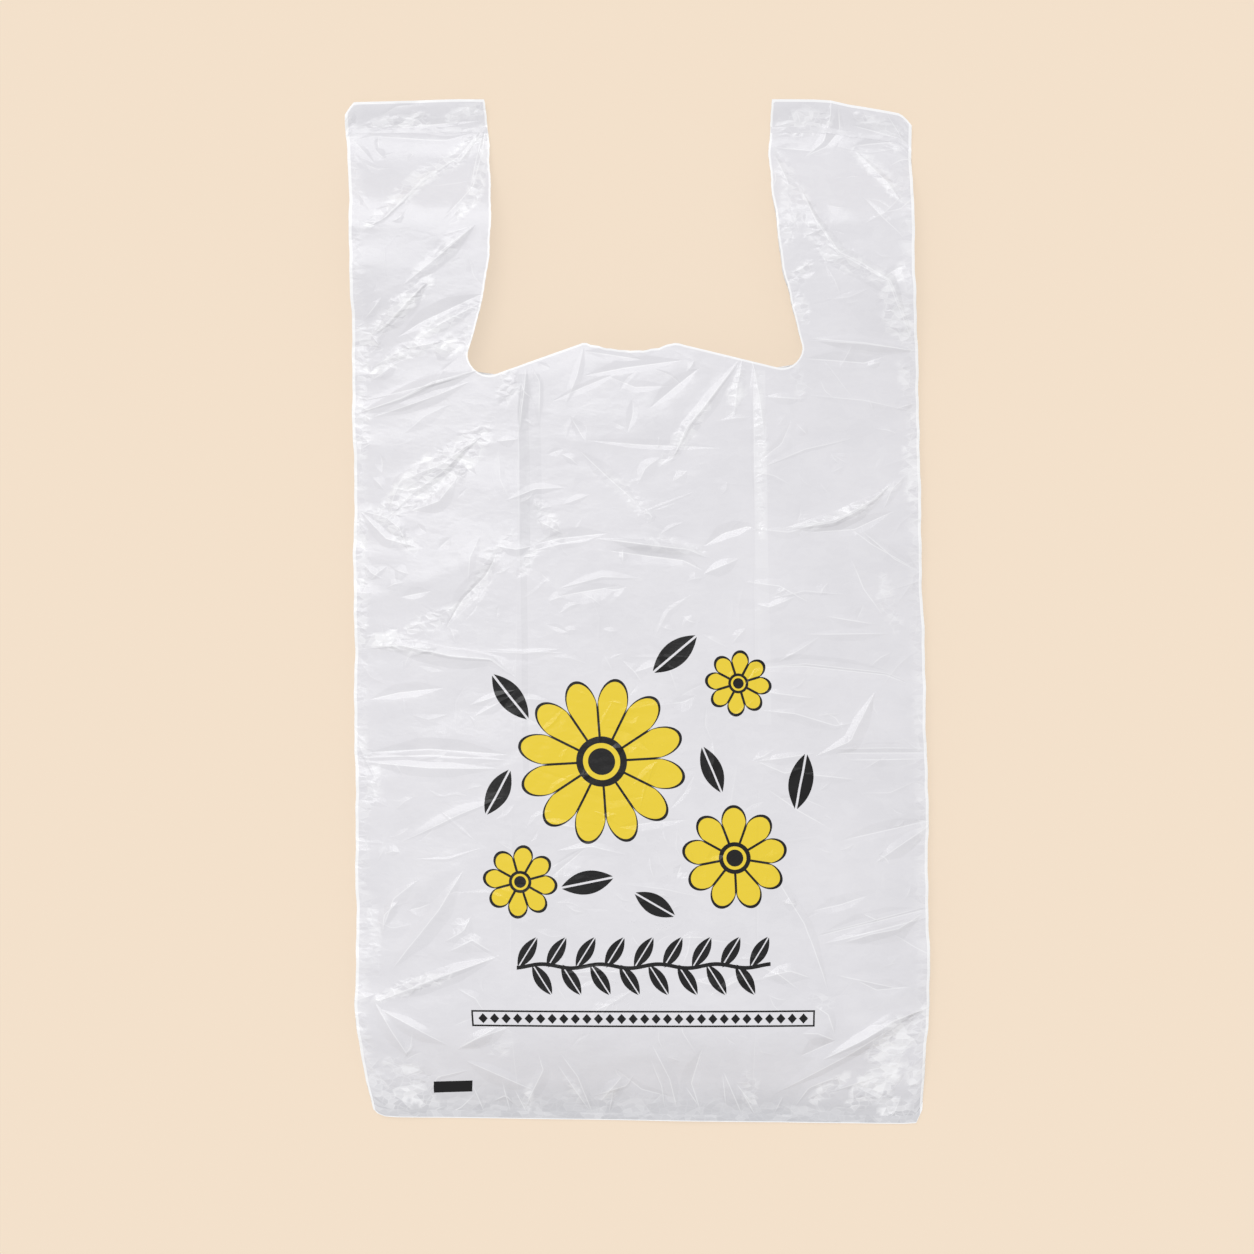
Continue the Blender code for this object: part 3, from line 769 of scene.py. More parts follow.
def cutSide(side):
    # the cut on one side: the mouth out to the split on its corner, then up the handle
    root = bag["halfWidth"] - bag["handleRoot"]
    inner = bag["halfWidth"] - bag["handleWidth"]
    corner = bag["mouthCorner"]
    cx = root - corner
    cy = bag["length"] - bag["mouthDepth"][side] + corner
    peak = mouthLevel + bag["peakRise"]
    aside = bag["peakAside"][side]
    slope = math.atan2(peak - cy + corner, cx - aside)
    steps = mesh["cutSteps"]
    mouth = []
    for i in range(steps):
        share = i / steps
        mouth.append((aside * share, peak - bag["peakDip"] * (1 - share**2)))
    mouth.append((aside, peak))
    for i in range(steps + 1):
        a = -math.pi / 2 - slope + (math.pi / 4 + slope) * i / steps
        mouth.append((cx + corner * math.cos(a), cy + corner * math.sin(a)))
    handle = [mouth[-1]]
    for i in range(1, steps + 1):
        a = -math.pi / 4 * (1 - i / steps)
        handle.append((cx + corner * math.cos(a), cy + corner * math.sin(a)))
    for i in range(1, steps + 1):
        bend = math.sin(i / steps * math.pi / 2)
        x = root + (inner - bag["handleBelly"] - root) * bend
        handle.append((x, cy + bag["handleFlare"] * i / steps))
    handle.append((inner, bag["length"]))
    return np.array(mouth), np.array(handle)


cuts = {side: cutSide(side) for side in (-1, 1)}
splitX = {side: float(cuts[side][1][0][0]) for side in cuts}
splitY = {side: float(cuts[side][1][0][1]) for side in cuts}


def mouthLine(x):
    left = np.interp(-x, cuts[-1][0][:, 0], cuts[-1][0][:, 1])
    right = np.interp(x, cuts[1][0][:, 0], cuts[1][0][:, 1])
    torn = waves(x, bag["tornWaves"]) * ease(bag["tornHalf"] - np.abs(x), 0, bag["tornFade"])
    return np.where(x < 0, left, right) + torn


def handleEdge(side, along):
    edge = np.interp(along, cuts[side][1][:, 1], cuts[side][1][:, 0])
    nicks = waves(along, bag["nickWaves"], side)
    start, end = bag["nickRun"]
    free = ease(along, splitY[side] + start, splitY[side] + end)
    return edge + (nicks + measured("edgeSpread", side, along)) * free


def filmColumns():
    # the stops once round the tube, along the front panel towards +X first
    def steps(first, last, count, ends=True):
        values = [first + (last - first) * i / count for i in range(count + 1)]
        return values if ends else values[1:-1]

    def panel(layer, handle, middle, sign):
        made = [(layer, -sign, "handle", c) for c in steps(0, 1, handle)]
        shares = steps(0, 1, middle, ends=False)
        made += [(layer, 0, "middle", m if sign > 0 else 1 - m) for m in shares]
        return made + [(layer, sign, "handle", c) for c in steps(1, 0, handle)]

    side = [("frontFold", 1, "handle", a) for a in steps(0, 1, mesh["fold"], ends=False)]
    inwards = [("handle", c) for c in steps(0, 1, mesh["layerHandle"])]
    inwards += [("tuck", q) for q in steps(0, 1, mesh["tuck"])[1:]]
    side += [("upper", 1, kind, share) for kind, share in inwards]
    side += [("lower", 1, kind, share) for kind, share in reversed(inwards)]
    side += [("backFold", 1, "handle", a) for a in steps(0, 1, mesh["fold"], ends=False)]
    other = [(layer, -1, kind, share) for layer, _, kind, share in reversed(side)]
    front = panel("front", mesh["frontHandle"], mesh["frontMiddle"], 1)
    back = panel("back", mesh["layerHandle"], mesh["layerMiddle"], -1)
    return front + side + back + other


def stopsOf(columns, column):
    # layer, side, kind and share of every vertex
    return [np.array([c[part] for c in columns])[column] for part in range(4)]


def flatPlace(columns, column, row):
    # x and along of every vertex on the flat bag
    layer, side, kind, share = stopsOf(columns, column)
    front = layer == "front"
    share = np.where((layer == "frontFold") | (layer == "backFold"), 0.0, share)
    inBody = np.minimum(row, mesh["bodyRows"]) / mesh["bodyRows"]
    inHandle = np.maximum(row - mesh["bodyRows"], 0) / mesh["handleRows"]
    x = np.zeros(column.shape)
    along = np.zeros(column.shape)
    for s in (-1, 1):
        own = (side == s) & (kind == "handle")
        up = splitY[s] * inBody + (bag["length"] - splitY[s]) * inHandle
        cut = np.where(inHandle > 0, handleEdge(s, up), splitX[s])
        step = bag["edgeStep"] * ease(up, splitY[s], splitY[s] + bag["edgeStepRun"])
        cut = cut + np.where(front, 0, step)
        x = np.where(own, s * (bag["halfWidth"] - share * (bag["halfWidth"] - cut)), x)
        along = np.where(own, up, along)
        own = (side == s) & (kind == "tuck")
        tuck = bag["halfWidth"] - bag["gussetDepth"]
        tucked = s * (splitX[s] - share * (splitX[s] - tuck))
        x = np.where(own, tucked, x)
        along = np.where(own, mouthLine(tucked) * inBody, along)
    own = kind == "middle"
    between = -splitX[-1] + share * (splitX[-1] + splitX[1])
    x = np.where(own, between, x)
    along = np.where(own, mouthLine(between) * inBody, along)
    return x, along


def lieDown(columns, column, x, along):
    # where the film lies, seen from the side of its outer face
    layer, _, _, share = stopsOf(columns, column)
    turn = share * math.pi
    side = np.where(x > 0, 1, -1)
    wide = halfWidthAt(side, along)
    level = levelHeight(along)
    wave = sideRise(side, along)
    edge = level + wave
    radius = bag["foldRadius"]
    across = np.clip(x / bag["halfWidth"], -1, 1)
    flatX = across * (wide - radius)
    crown = bag["bodyLoft"] + (bag["handleCrown"] - bag["bodyLoft"]) * handleShare(along)
    dome = crown * (1 - np.abs(across) ** bag["domePower"])
    free = freeShare(along)
    nearEdge = np.clip((bag["halfWidth"] - np.abs(x)) / crumple["edgeFade"], 0, 1)
    creases = creaseField(x, along)
    skirt = ease(along, topWeldEnd, topWeldEnd + bag["skirtFade"]) * bag["skirtCrease"]
    reach = np.maximum(ease(along, bag["bottomWeld"], bag["bottomWeld"] + bag["bottomFade"])
                       * ease(topWeldStart - along, 0, bag["topFade"]), skirt)
    atEdge = np.where(creases < 0, nearEdge, np.minimum(1, bag["edgeCrease"] + nearEdge))
    front = level + wave * np.abs(across) ** bag["edgePower"] + dome * free
    front = front + creases * reach * atEdge
    gap = bag["layerGap"] + (bag["handleGap"] - bag["layerGap"]) * handleShare(along) * free
    halfGap = gap / 2
    depth = (bag["halfWidth"] - np.abs(x)) / bag["gussetDepth"]
    tuckX = np.sign(x) * (wide - radius - (np.minimum(depth, 1) * (bag["gussetDepth"] - radius)))
    up, outwards = bag["gussetTurns"]
    ripple = bag["gussetRipple"] * np.sin(along * up + x * outwards) * free
    ripple = ripple * np.sin(np.clip(depth, 0, 1) * math.pi)
    upper = (edge - 2 * radius) * (1 - depth) + (edge / 2 + halfGap) * depth
    upper = upper + np.minimum(ripple, 0)
    lower = 2 * radius * (1 - depth) + (edge / 2 - halfGap) * depth
    lower = lower + np.maximum(ripple, 0) / 2
    # shallow humps of the back panel, in no order
    outwards, sway, up = bag["backTurns"]
    backWave = np.sin(x * outwards + bag["backBend"] * np.sin(along * sway)) * np.sin(along * up + 1)
    backWave = np.maximum(0, backWave) ** 3
    back = bag["backLift"] * backWave * free * nearEdge * (1 - np.abs(across) ** bag["backPower"])
    foldMiddle = np.where(layer == "frontFold", edge - radius, radius)
    foldX = np.sign(x) * (wide - radius * (1 - np.sin(turn)))
    inFold = (layer == "frontFold") | (layer == "backFold")
    inGusset = (layer == "upper") | (layer == "lower")
    flatX = np.where(inFold, foldX, np.where(inGusset, tuckX, flatX))
    z = np.select(
        [layer == "front", layer == "back", layer == "upper", layer == "lower"],
        [front, back, upper, lower],
        foldMiddle + radius * np.cos(turn),
    )
    worldX, worldY = plan(flatX, along)
    return np.stack([worldX, worldY, z + curl(x, along)], axis=1)


def curl(x, along):
    # the ends of the bag lift a little off the floor, all layers together
    atBottom = ease(bag["bottomLiftRun"] - along, 0, bag["bottomLiftRun"])
    atTop = ease(along, bag["length"] - bag["topLiftRun"], bag["length"])
    return humps(x, bag["bottomLift"]) * atBottom + humps(x, bag["topLift"]) * atTop


def makeFilm():
    columns = filmColumns()
    count = len(columns)
    rows = mesh["bodyRows"] + mesh["handleRows"]
    bm = bmesh.new()
    bmesh.ops.create_grid(bm, x_segments=count, y_segments=rows, size=0.5)
    bm.verts.ensure_lookup_table()
    grid = np.array([(v.co.x, v.co.y) for v in bm.verts]) + 0.5
    column = np.rint(grid[:, 0] * count).astype(int)
    row = np.rint(grid[:, 1] * rows).astype(int)
    seam = [v for v, c in zip(bm.verts, column) if c in (0, count)]
    column = column % count
    x, along = flatPlace(columns, column, row)
    places = lieDown(columns, column, x, along)
    # above the mouth only the handles and their folds are film
    gone = []
    for face in bm.faces:
        ids = [v.index for v in face.verts]
        if min(row[ids]) < mesh["bodyRows"]:
            continue
        if any(columns[c][2] != "handle" for c in column[ids]):
            gone.append(face)
    print("stage: film laid out,", len(bm.faces) - len(gone), "faces")
    flat = bm.loops.layers.uv.new("flatFilm")
    crumpled = bm.verts.layers.float.new("crumpled")
    paleEdgeAndPaintedHighlight = bm.verts.layers.float.new("paleEdgeAndPaintedHighlight")
    shares = crumpleShare(x, along)
    layer = stopsOf(columns, column)[0]
    foldOf = foldLayers(x, along, layer == "front")
    foldNames = [bm.verts.layers.float_color.new(f"fold{i}") for i in range(folds["layers"])]
    # the layers lie side by side in the map, a metre apart
    sheetOf = {"front": 0, "frontFold": 0, "back": 2, "backFold": 2, "upper": 1, "lower": 1}
    for v in bm.verts:
        v.co = places[v.index]
        v[crumpled] = float(shares[v.index])
        for name, values in zip(foldNames, foldOf):
            v[name] = values[v.index]
    for face in bm.faces:
        offset = max(sheetOf[layer[v.index]] for v in face.verts)
        for loop in face.loops:
            i = loop.vert.index
            loop[flat].uv = (x[i] + offset, along[i])
    bmesh.ops.delete(bm, geom=gone, context="FACES")
    seam = [v for v in seam if v.is_valid]
    bmesh.ops.remove_doubles(bm, verts=seam, dist=bag["layerGap"] / 4)
    # the boundary carries the mask of the pale edge and its painted highlight
    for v in bm.verts:
        v[paleEdgeAndPaintedHighlight] = 1.0 if v.is_boundary else 0.0
    data = bpy.data.meshes.new("carrierFilm")
    bm.to_mesh(data)
    bm.free()
    film = bpy.data.objects.new("carrierFilm", data)
    bpy.context.scene.collection.objects.link(film)
    wall = film.modifiers.new("wall", "SOLIDIFY")
    wall.thickness = bag["wall"]
    wall.offset = -1
    bpy.context.view_layer.update()
    graph = bpy.context.evaluated_depsgraph_get()
    solid = film.evaluated_get(graph)
    film.data = bpy.data.meshes.new_from_object(
        solid, preserve_all_data_layers=True, depsgraph=graph)
    film.modifiers.clear()
    return film


def addWeld(bm, side, low, high):
    # one flat bar of fused film; side 0 is the bottom of the bag, else the top of a handle
    made = bmesh.ops.create_grid(bm, x_segments=mesh["weldSteps"], y_segments=1, size=0.5)
    flatX = bm.verts.layers.float["flatX"]
    flatY = bm.verts.layers.float["flatY"]
    for v in made["verts"]:
        along = np.array(low + (high - low) * (v.co.y + 0.5))
        share = v.co.x + 0.5
        if side:
            inner = float(handleEdge(side, along)) + bag["weldOverlap"]
            x = side * (inner + (bag["halfWidth"] - inner) * share)
        else:
            x = 2 * bag["halfWidth"] * (share - 0.5)
        edge = float(halfWidthAt(1 if x > 0 else -1, along)) / bag["halfWidth"]
        wx, wy = plan(x * edge, float(along))
        v.co = (wx, wy, float(curl(np.array(x), along)))
        v[flatX] = x
        v[flatY] = float(along)
    base = set(made["verts"])
    faces = [f for f in bm.faces if all(v in base for v in f.verts)]
    raised = bmesh.ops.extrude_face_region(bm, geom=faces)
    top = [g for g in raised["geom"] if isinstance(g, bmesh.types.BMVert)]
    bmesh.ops.translate(bm, verts=top, vec=(0, 0, weldHeight + bag["weldProud"]))
    whole = base | set(top)
    bar = [f for f in bm.faces if all(v in whole for v in f.verts)]
    bmesh.ops.recalc_face_normals(bm, faces=bar)
    return whole


def sortFaces(bm, filmFaces):
    # the sides of the bars are made in no fixed order, so the bars' faces are put in the order
    # of their vertices, behind the faces of the film
    bm.verts.index_update()
    bm.faces.index_update()
    count = len(bm.verts)

    def place(face):
        if face.index < filmFaces:
            return face.index - filmFaces
        ids = [v.index for v in face.verts]
        return min(ids) * count + max(ids)

    bm.faces.sort(key=place)


def addWelds(film):
    bm = bmesh.new()
    bm.from_mesh(film.data)
    filmFaces = len(bm.faces)
    flat = bm.loops.layers.uv["flatFilm"]
    placed = [bm.verts.layers.float.new(name) for name in ("flatX", "flatY")]
    bars = addWeld(bm, 0, -bag["weldOverlap"], bag["bottomWeld"])
    for side in (-1, 1):
        bars |= addWeld(bm, side, topWeldStart, topWeldEnd)
    crumpled = bm.verts.layers.float["crumpled"]
    for v in bars:
        v[crumpled] = crumple["weldShare"]
        for loop in v.link_loops:
            loop[flat].uv = (v[placed[0]] + mesh["weldAside"], v[placed[1]])
    for name in ("flatX", "flatY"):
        bm.verts.layers.float.remove(bm.verts.layers.float[name])
    sortFaces(bm, filmFaces)
    bm.to_mesh(film.data)
    bm.free()
    film.data.shade_smooth()
    film.data.set_sharp_from_angle(angle=math.radians(mesh["sharpAngle"]))


def centreOn(thing, cadBox):
    # the middle of the footprint comes to lie over the middle of the box
    places = np.empty(len(thing.data.vertices) * 3)
    thing.data.vertices.foreach_get("co", places)
    places = places.reshape(-1, 3)
    for axis in (0, 1):
        middle = (places[:, axis].min() + places[:, axis].max()) / 2
        places[:, axis] += (cadBox[0][axis] + cadBox[1][axis]) / 2 - middle
    thing.data.vertices.foreach_set("co", places.reshape(-1))
    thing.data.update()


# The print: plain garden motifs in the two inks, placed in metres on the flat front panel.
printed = {
    "yellow": (0.84, 0.63, 0.042, 1.0),
    "black": (0.003, 0.0026, 0.0034, 1.0),
    "line": 0.0015,
    "petal": {"depth": 0.36, "power": 0.6},  # shares of a flower's radius, as those below
    "heart": 0.30,
    "ring": (0.16, 0.22),
    "rib": 0.09,  # share of a leaf's half width
    "flowers": [  # middle x, middle along, radius, petals, turn
        (-0.020, 0.186, 0.043, 12, 0.2),
        (0.047, 0.137, 0.027, 9, 0.5),
        (0.050, 0.226, 0.017, 8, 0.1),
        (-0.062, 0.124, 0.019, 8, 0.9),
    ],
    "leaves": [  # middle x, middle along, half length, half width, tilt in degrees
        (-0.073, 0.170, 0.0135, 0.0056, 62),
        (-0.066, 0.219, 0.0150, 0.0062, 128),
        (0.018, 0.241, 0.0150, 0.0062, 40),
        (0.036, 0.182, 0.0130, 0.0052, 112),
        (0.081, 0.176, 0.0150, 0.0062, 78),
        (-0.028, 0.124, 0.0140, 0.0060, 12),
        (0.006, 0.113, 0.0120, 0.0052, 150),
    ],
    "garland": {"along": 0.0815, "half": 0.06615, "period": 0.0147, "leaf": 0.0094,
                "leafWidth": 0.0036, "rise": 0.0070, "tilt": 58, "stem": 0.0010, "sway": 0.0010},
    "border": {"along": 0.0545, "half": 0.0870, "height": 0.0042, "period": 0.0058, "line": 0.0009,
               "lozenge": 0.62, "narrow": 1.1},
    "bar": {"x": -0.1004, "along": 0.0166, "halfX": 0.0101, "halfY": 0.0030, "lean": 0.15,
            "tilt": 0.05},
    "level": -0.0115,  # the rows of the print lie level although the film sinks to the right
}
filmLook = {
    "colour": (0.784, 0.773, 0.806, 1.0),
    # cloud tone of the film, and the colour of the painted shade
    "toneAndPaintedShade": (0.748, 0.739, 0.772, 1.0),
    # grey of the weld bars; it is also the painted shade towards the bottom edge and the darker tuck
    # bands
    "weld": (0.585, 0.585, 0.611, 1.0),
    "bottomPaintedShadeRun": 0.022,
    "lowRun": 0.25,  # painted shade: up to here the film is painted a little darker
    "lowPaintedShade": 0.5,
    "highFrom": 0.37,  # and from here up as well, painted shade again
    "highPaintedShade": 4.0,
    # white of the painted highlights along the edges and the crests
    "paleEdgeAndPaintedHighlight": (0.97, 0.97, 0.98, 1.0),
    "roughness": 0.20,
    "roughnessSpread": 0.08,
    "inkRoughness": 0.08,
    "specular": 0.38,
    "refraction": 1.5,
    "cloud": (26.0, 4.0),  # turns a metre and detail of the faint clouds
    "cloudRange": (0.35, 0.70),
    "facets": [(130.0, 0.14, 0.4), (320.0, 0.17, 1.9)],  # cells a metre, slope, turn
    "paleAndPaintedGlint": (0.932, 0.928, 0.948, 1.0),  # painted glints on crumpled film, and the paler tuck bands
    # painted highlight on the crests of folds, partly the whitening of creased film
    "crest": 0.64,
    "netShare": 0.5,  # how strongly the painted crest highlight marks the lines between the small facets
    "crestWidth": 0.00038,
    "plainCrest": 0.0003,  # a fold of this height has its whole crest line
    "cellWarp": (0.35, 1.6, 1.2),  # scale of the warp and its reach both ways, in cells
    "cellStretch": (0.7, 1.3, 1.0),
    "paintedGlintCells": (3.2, -1.5),
    "rimEdge": (4.0, -1.6),  # steepness and start of the painted highlight along a cut
    "rimWidth": 0.0013,
    "rimShare": 0.92,
    "grain": 0.00002,
    "grainNoise": (700.0, 3.0),
    "through": [  # bands along the tucked edges of the gussets, darker below a share of 0 and paler above: middle x, half width, from, to, share
        (-0.0576, 0.0026, 0.285, 0.384, -0.34),
        (-0.0520, 0.0030, 0.305, 0.384, -0.16),
        (0.0634, 0.0033, 0.285, 0.386, 0.24),
        (0.0634, 0.0033, 0.205, 0.285, 0.12),
        (-0.0585, 0.0016, 0.180, 0.285, -0.18),
    ],
}


class Nodes:
    # short names for the nodes of one material

    def __init__(self, tree):
        self.tree = tree

    def add(self, kind, **settings):
        node = self.tree.nodes.new(kind)
        for name, value in settings.items():
            setattr(node, name, value)
        return node

    def link(self, value, socket):
        if isinstance(value, (int, float, tuple)):
            socket.default_value = value
        else:
            self.tree.links.new(value, socket)

    def maths(self, operation, *values):
        node = self.add("ShaderNodeMath", operation=operation)
        for value, socket in zip(values, node.inputs):
            self.link(value, socket)
        return node.outputs[0]

    def plus(self, first, second):
        return self.maths("ADD", first, second)

    def minus(self, first, second):
        return self.maths("SUBTRACT", first, second)

    def less(self, first, second):
        return self.maths("LESS_THAN", first, second)

    def over(self, first, second):
        return self.maths("GREATER_THAN", first, second)

    def fit(self, value, times, added):
        return self.maths("MULTIPLY_ADD", value, times, added)

    def size(self, value):
        return self.maths("ABSOLUTE", value)

    def most(self, masks):
        whole = masks[0]
        for mask in masks[1:]:
            whole = self.maths("MAXIMUM", whole, mask)
        return whole

    def both(self, first, second):
        return self.maths("MULTIPLY", first, second)

    def clamp(self, value):
        return self.maths("MINIMUM", self.maths("MAXIMUM", value, 0.0), 1.0)

    def fade(self, value, reach):
        # 1 at nothing and 0 from the reach on
        rest = self.maths("SUBTRACT", 1.0, self.maths("DIVIDE", value, reach))
        return self.maths("MAXIMUM", rest, 0.0)

    def noise(self, place, scale, detail=None):
        node = self.add("ShaderNodeTexNoise")
        self.link(place, node.inputs["Vector"])
        self.link(scale, node.inputs["Scale"])
        if detail is not None:
            self.link(detail, node.inputs["Detail"])
        return node.outputs

    def mix(self, share, first, second):
        node = self.add("ShaderNodeMix", data_type="RGBA")
        self.link(share, node.inputs[0])
        self.link(first, node.inputs[6])
        self.link(second, node.inputs[7])
        return node.outputs[2]


def flowerMasks(n, u, v, x, y, radius, petals, turn):
    du = n.minus(u, x)
    dv = n.minus(v, y)
    off = n.maths("SQRT", n.plus(n.both(du, du), n.both(dv, dv)))
    angle = n.plus(n.maths("ARCTAN2", dv, du), turn)
    lobe = n.size(n.maths("COSINE", n.both(angle, petals / 2)))
    petal = printed["petal"]
    rounded = n.maths("POWER", lobe, petal["power"])
    edge = n.fit(rounded, petal["depth"] * radius, (1 - petal["depth"]) * radius)
    inside = n.less(off, edge)
    inner = n.less(off, n.minus(edge, printed["line"]))
    outline = n.minus(inside, inner)
    slit = n.less(n.both(off, lobe), printed["line"] * petals / 5)
    heart = n.less(off, printed["heart"] * radius)
    low, high = [share * radius for share in printed["ring"]]
    ring = n.both(n.less(off, high), n.over(off, low))
    black = n.minus(n.most([outline, n.both(slit, inside), heart]), ring)
    return inside, black


def leafMask(n, u, v, x, y, halfLength, halfWidth, tilt):
    du = n.minus(u, x)
    dv = n.minus(v, y)
    c = math.cos(math.radians(tilt))
    s = math.sin(math.radians(tilt))
    a = n.plus(n.both(du, c / halfLength), n.both(dv, s / halfLength))
    b = n.plus(n.both(du, -s / halfWidth), n.both(dv, c / halfWidth))
    b = n.size(b)
    body = n.less(n.plus(b, n.both(a, a)), 1.0)
    rib = n.over(b, printed["rib"])
    return n.both(body, rib)


def within(n, value, middle, half):
    return n.less(n.size(n.minus(value, middle)), half)


def garlandMask(n, u, v, g):
    # a stem with leaves on both sides in turn
    sway = n.maths("SINE", n.both(u, math.pi / g["period"]))
    stem = n.fit(sway, g["sway"], g["along"])
    line = n.less(n.size(n.minus(v, stem)), g["stem"])
    masks = [n.both(line, within(n, u, 0, g["half"] - g["period"] / 8))]
    for up in (1, -1):
        shifted = n.plus(u, 0 if up > 0 else g["period"] / 2)
        cell = n.maths("WRAP", shifted, g["period"] / 2, -g["period"] / 2)
        rise = n.fit(v, up, -up * g["along"])
        leaf = leafMask(n, cell, rise, 0.0, g["rise"], g["leaf"], g["leafWidth"], g["tilt"])
        reach = g["half"] if up > 0 else g["half"] - g["period"] / 2
        masks.append(n.both(leaf, within(n, u, 0, reach)))
    return n.most(masks)


def borderMask(n, u, v, b):
    # a row of lozenges between two thin lines
    inside = n.both(within(n, u, 0, b["half"]), within(n, v, b["along"], b["height"]))
    core = n.both(within(n, u, 0, b["half"] - b["line"]),
                  within(n, v, b["along"], b["height"] - b["line"]))
    lines = n.minus(inside, core)
    cell = n.size(n.maths("WRAP", u, b["period"] / 2, -b["period"] / 2))
    off = n.size(n.minus(v, b["along"]))
    off = n.plus(n.both(cell, b["narrow"]), off)
    lozenge = n.less(off, b["height"] * b["lozenge"])
    whole = within(n, u, 0, b["period"] * (int(b["half"] / b["period"]) - 0.5))
    return n.maths("MAXIMUM", lines, n.both(lozenge, n.both(inside, whole)))


def sharpFold(n, name):
    # height of one layer's folds in metres, and where their crests run
    held = n.add("ShaderNodeAttribute", attribute_name=name)
    parts = n.add("ShaderNodeSeparateColor")
    n.link(held.outputs["Color"], parts.inputs[0])
    off, rise, left = parts.outputs
    right = held.outputs["Alpha"]
    onLeft = n.less(off, 0.0)
    flank = n.fit(onLeft, n.minus(left, right), right)
    flank = n.maths("MAXIMUM", flank, 0.00001)
    off = n.size(off)
    strong = n.maths("DIVIDE", n.size(rise), filmLook["plainCrest"])
    line = n.both(n.fade(off, filmLook["crestWidth"]), n.maths("MINIMUM", strong, 1.0))
    return n.both(rise, n.fade(off, flank)), line


def facets(n, place, scale, slope, turn):
    # crumpled film: every cell is a small roof, raised or sunk by its own amount
    coarse, across, up = filmLook["cellWarp"]
    warp = n.noise(place, scale * coarse)
    moved = n.add("ShaderNodeVectorMath", operation="MULTIPLY_ADD")
    n.link(warp["Color"], moved.inputs[0])
    moved.inputs[1].default_value = (across / scale, up / scale, 0.0)
    n.link(place, moved.inputs[2])
    lay = n.add("ShaderNodeMapping")
    n.link(moved.outputs[0], lay.inputs["Vector"])
    lay.inputs["Rotation"].default_value = (0.0, 0.0, turn)
    lay.inputs["Scale"].default_value = filmLook["cellStretch"]
    edges = n.add("ShaderNodeTexVoronoi", feature="DISTANCE_TO_EDGE", voronoi_dimensions="2D")
    cells = n.add("ShaderNodeTexVoronoi", feature="F1", voronoi_dimensions="2D")
    for node in (edges, cells):
        n.link(lay.outputs[0], node.inputs["Vector"])
        n.link(scale, node.inputs["Scale"])
    tone = n.add("ShaderNodeSeparateColor")
    n.link(cells.outputs["Color"], tone.inputs[0])
    amount = n.fit(tone.outputs[0], 2 * slope / scale, -slope / scale)
    off = edges.outputs["Distance"]
    # the share of painted glint that the cell gets
    paintedGlint = n.clamp(n.fit(tone.outputs[1], *filmLook["paintedGlintCells"]))
    return n.both(off, amount), n.fade(off, filmLook["crestWidth"] * scale), paintedGlint


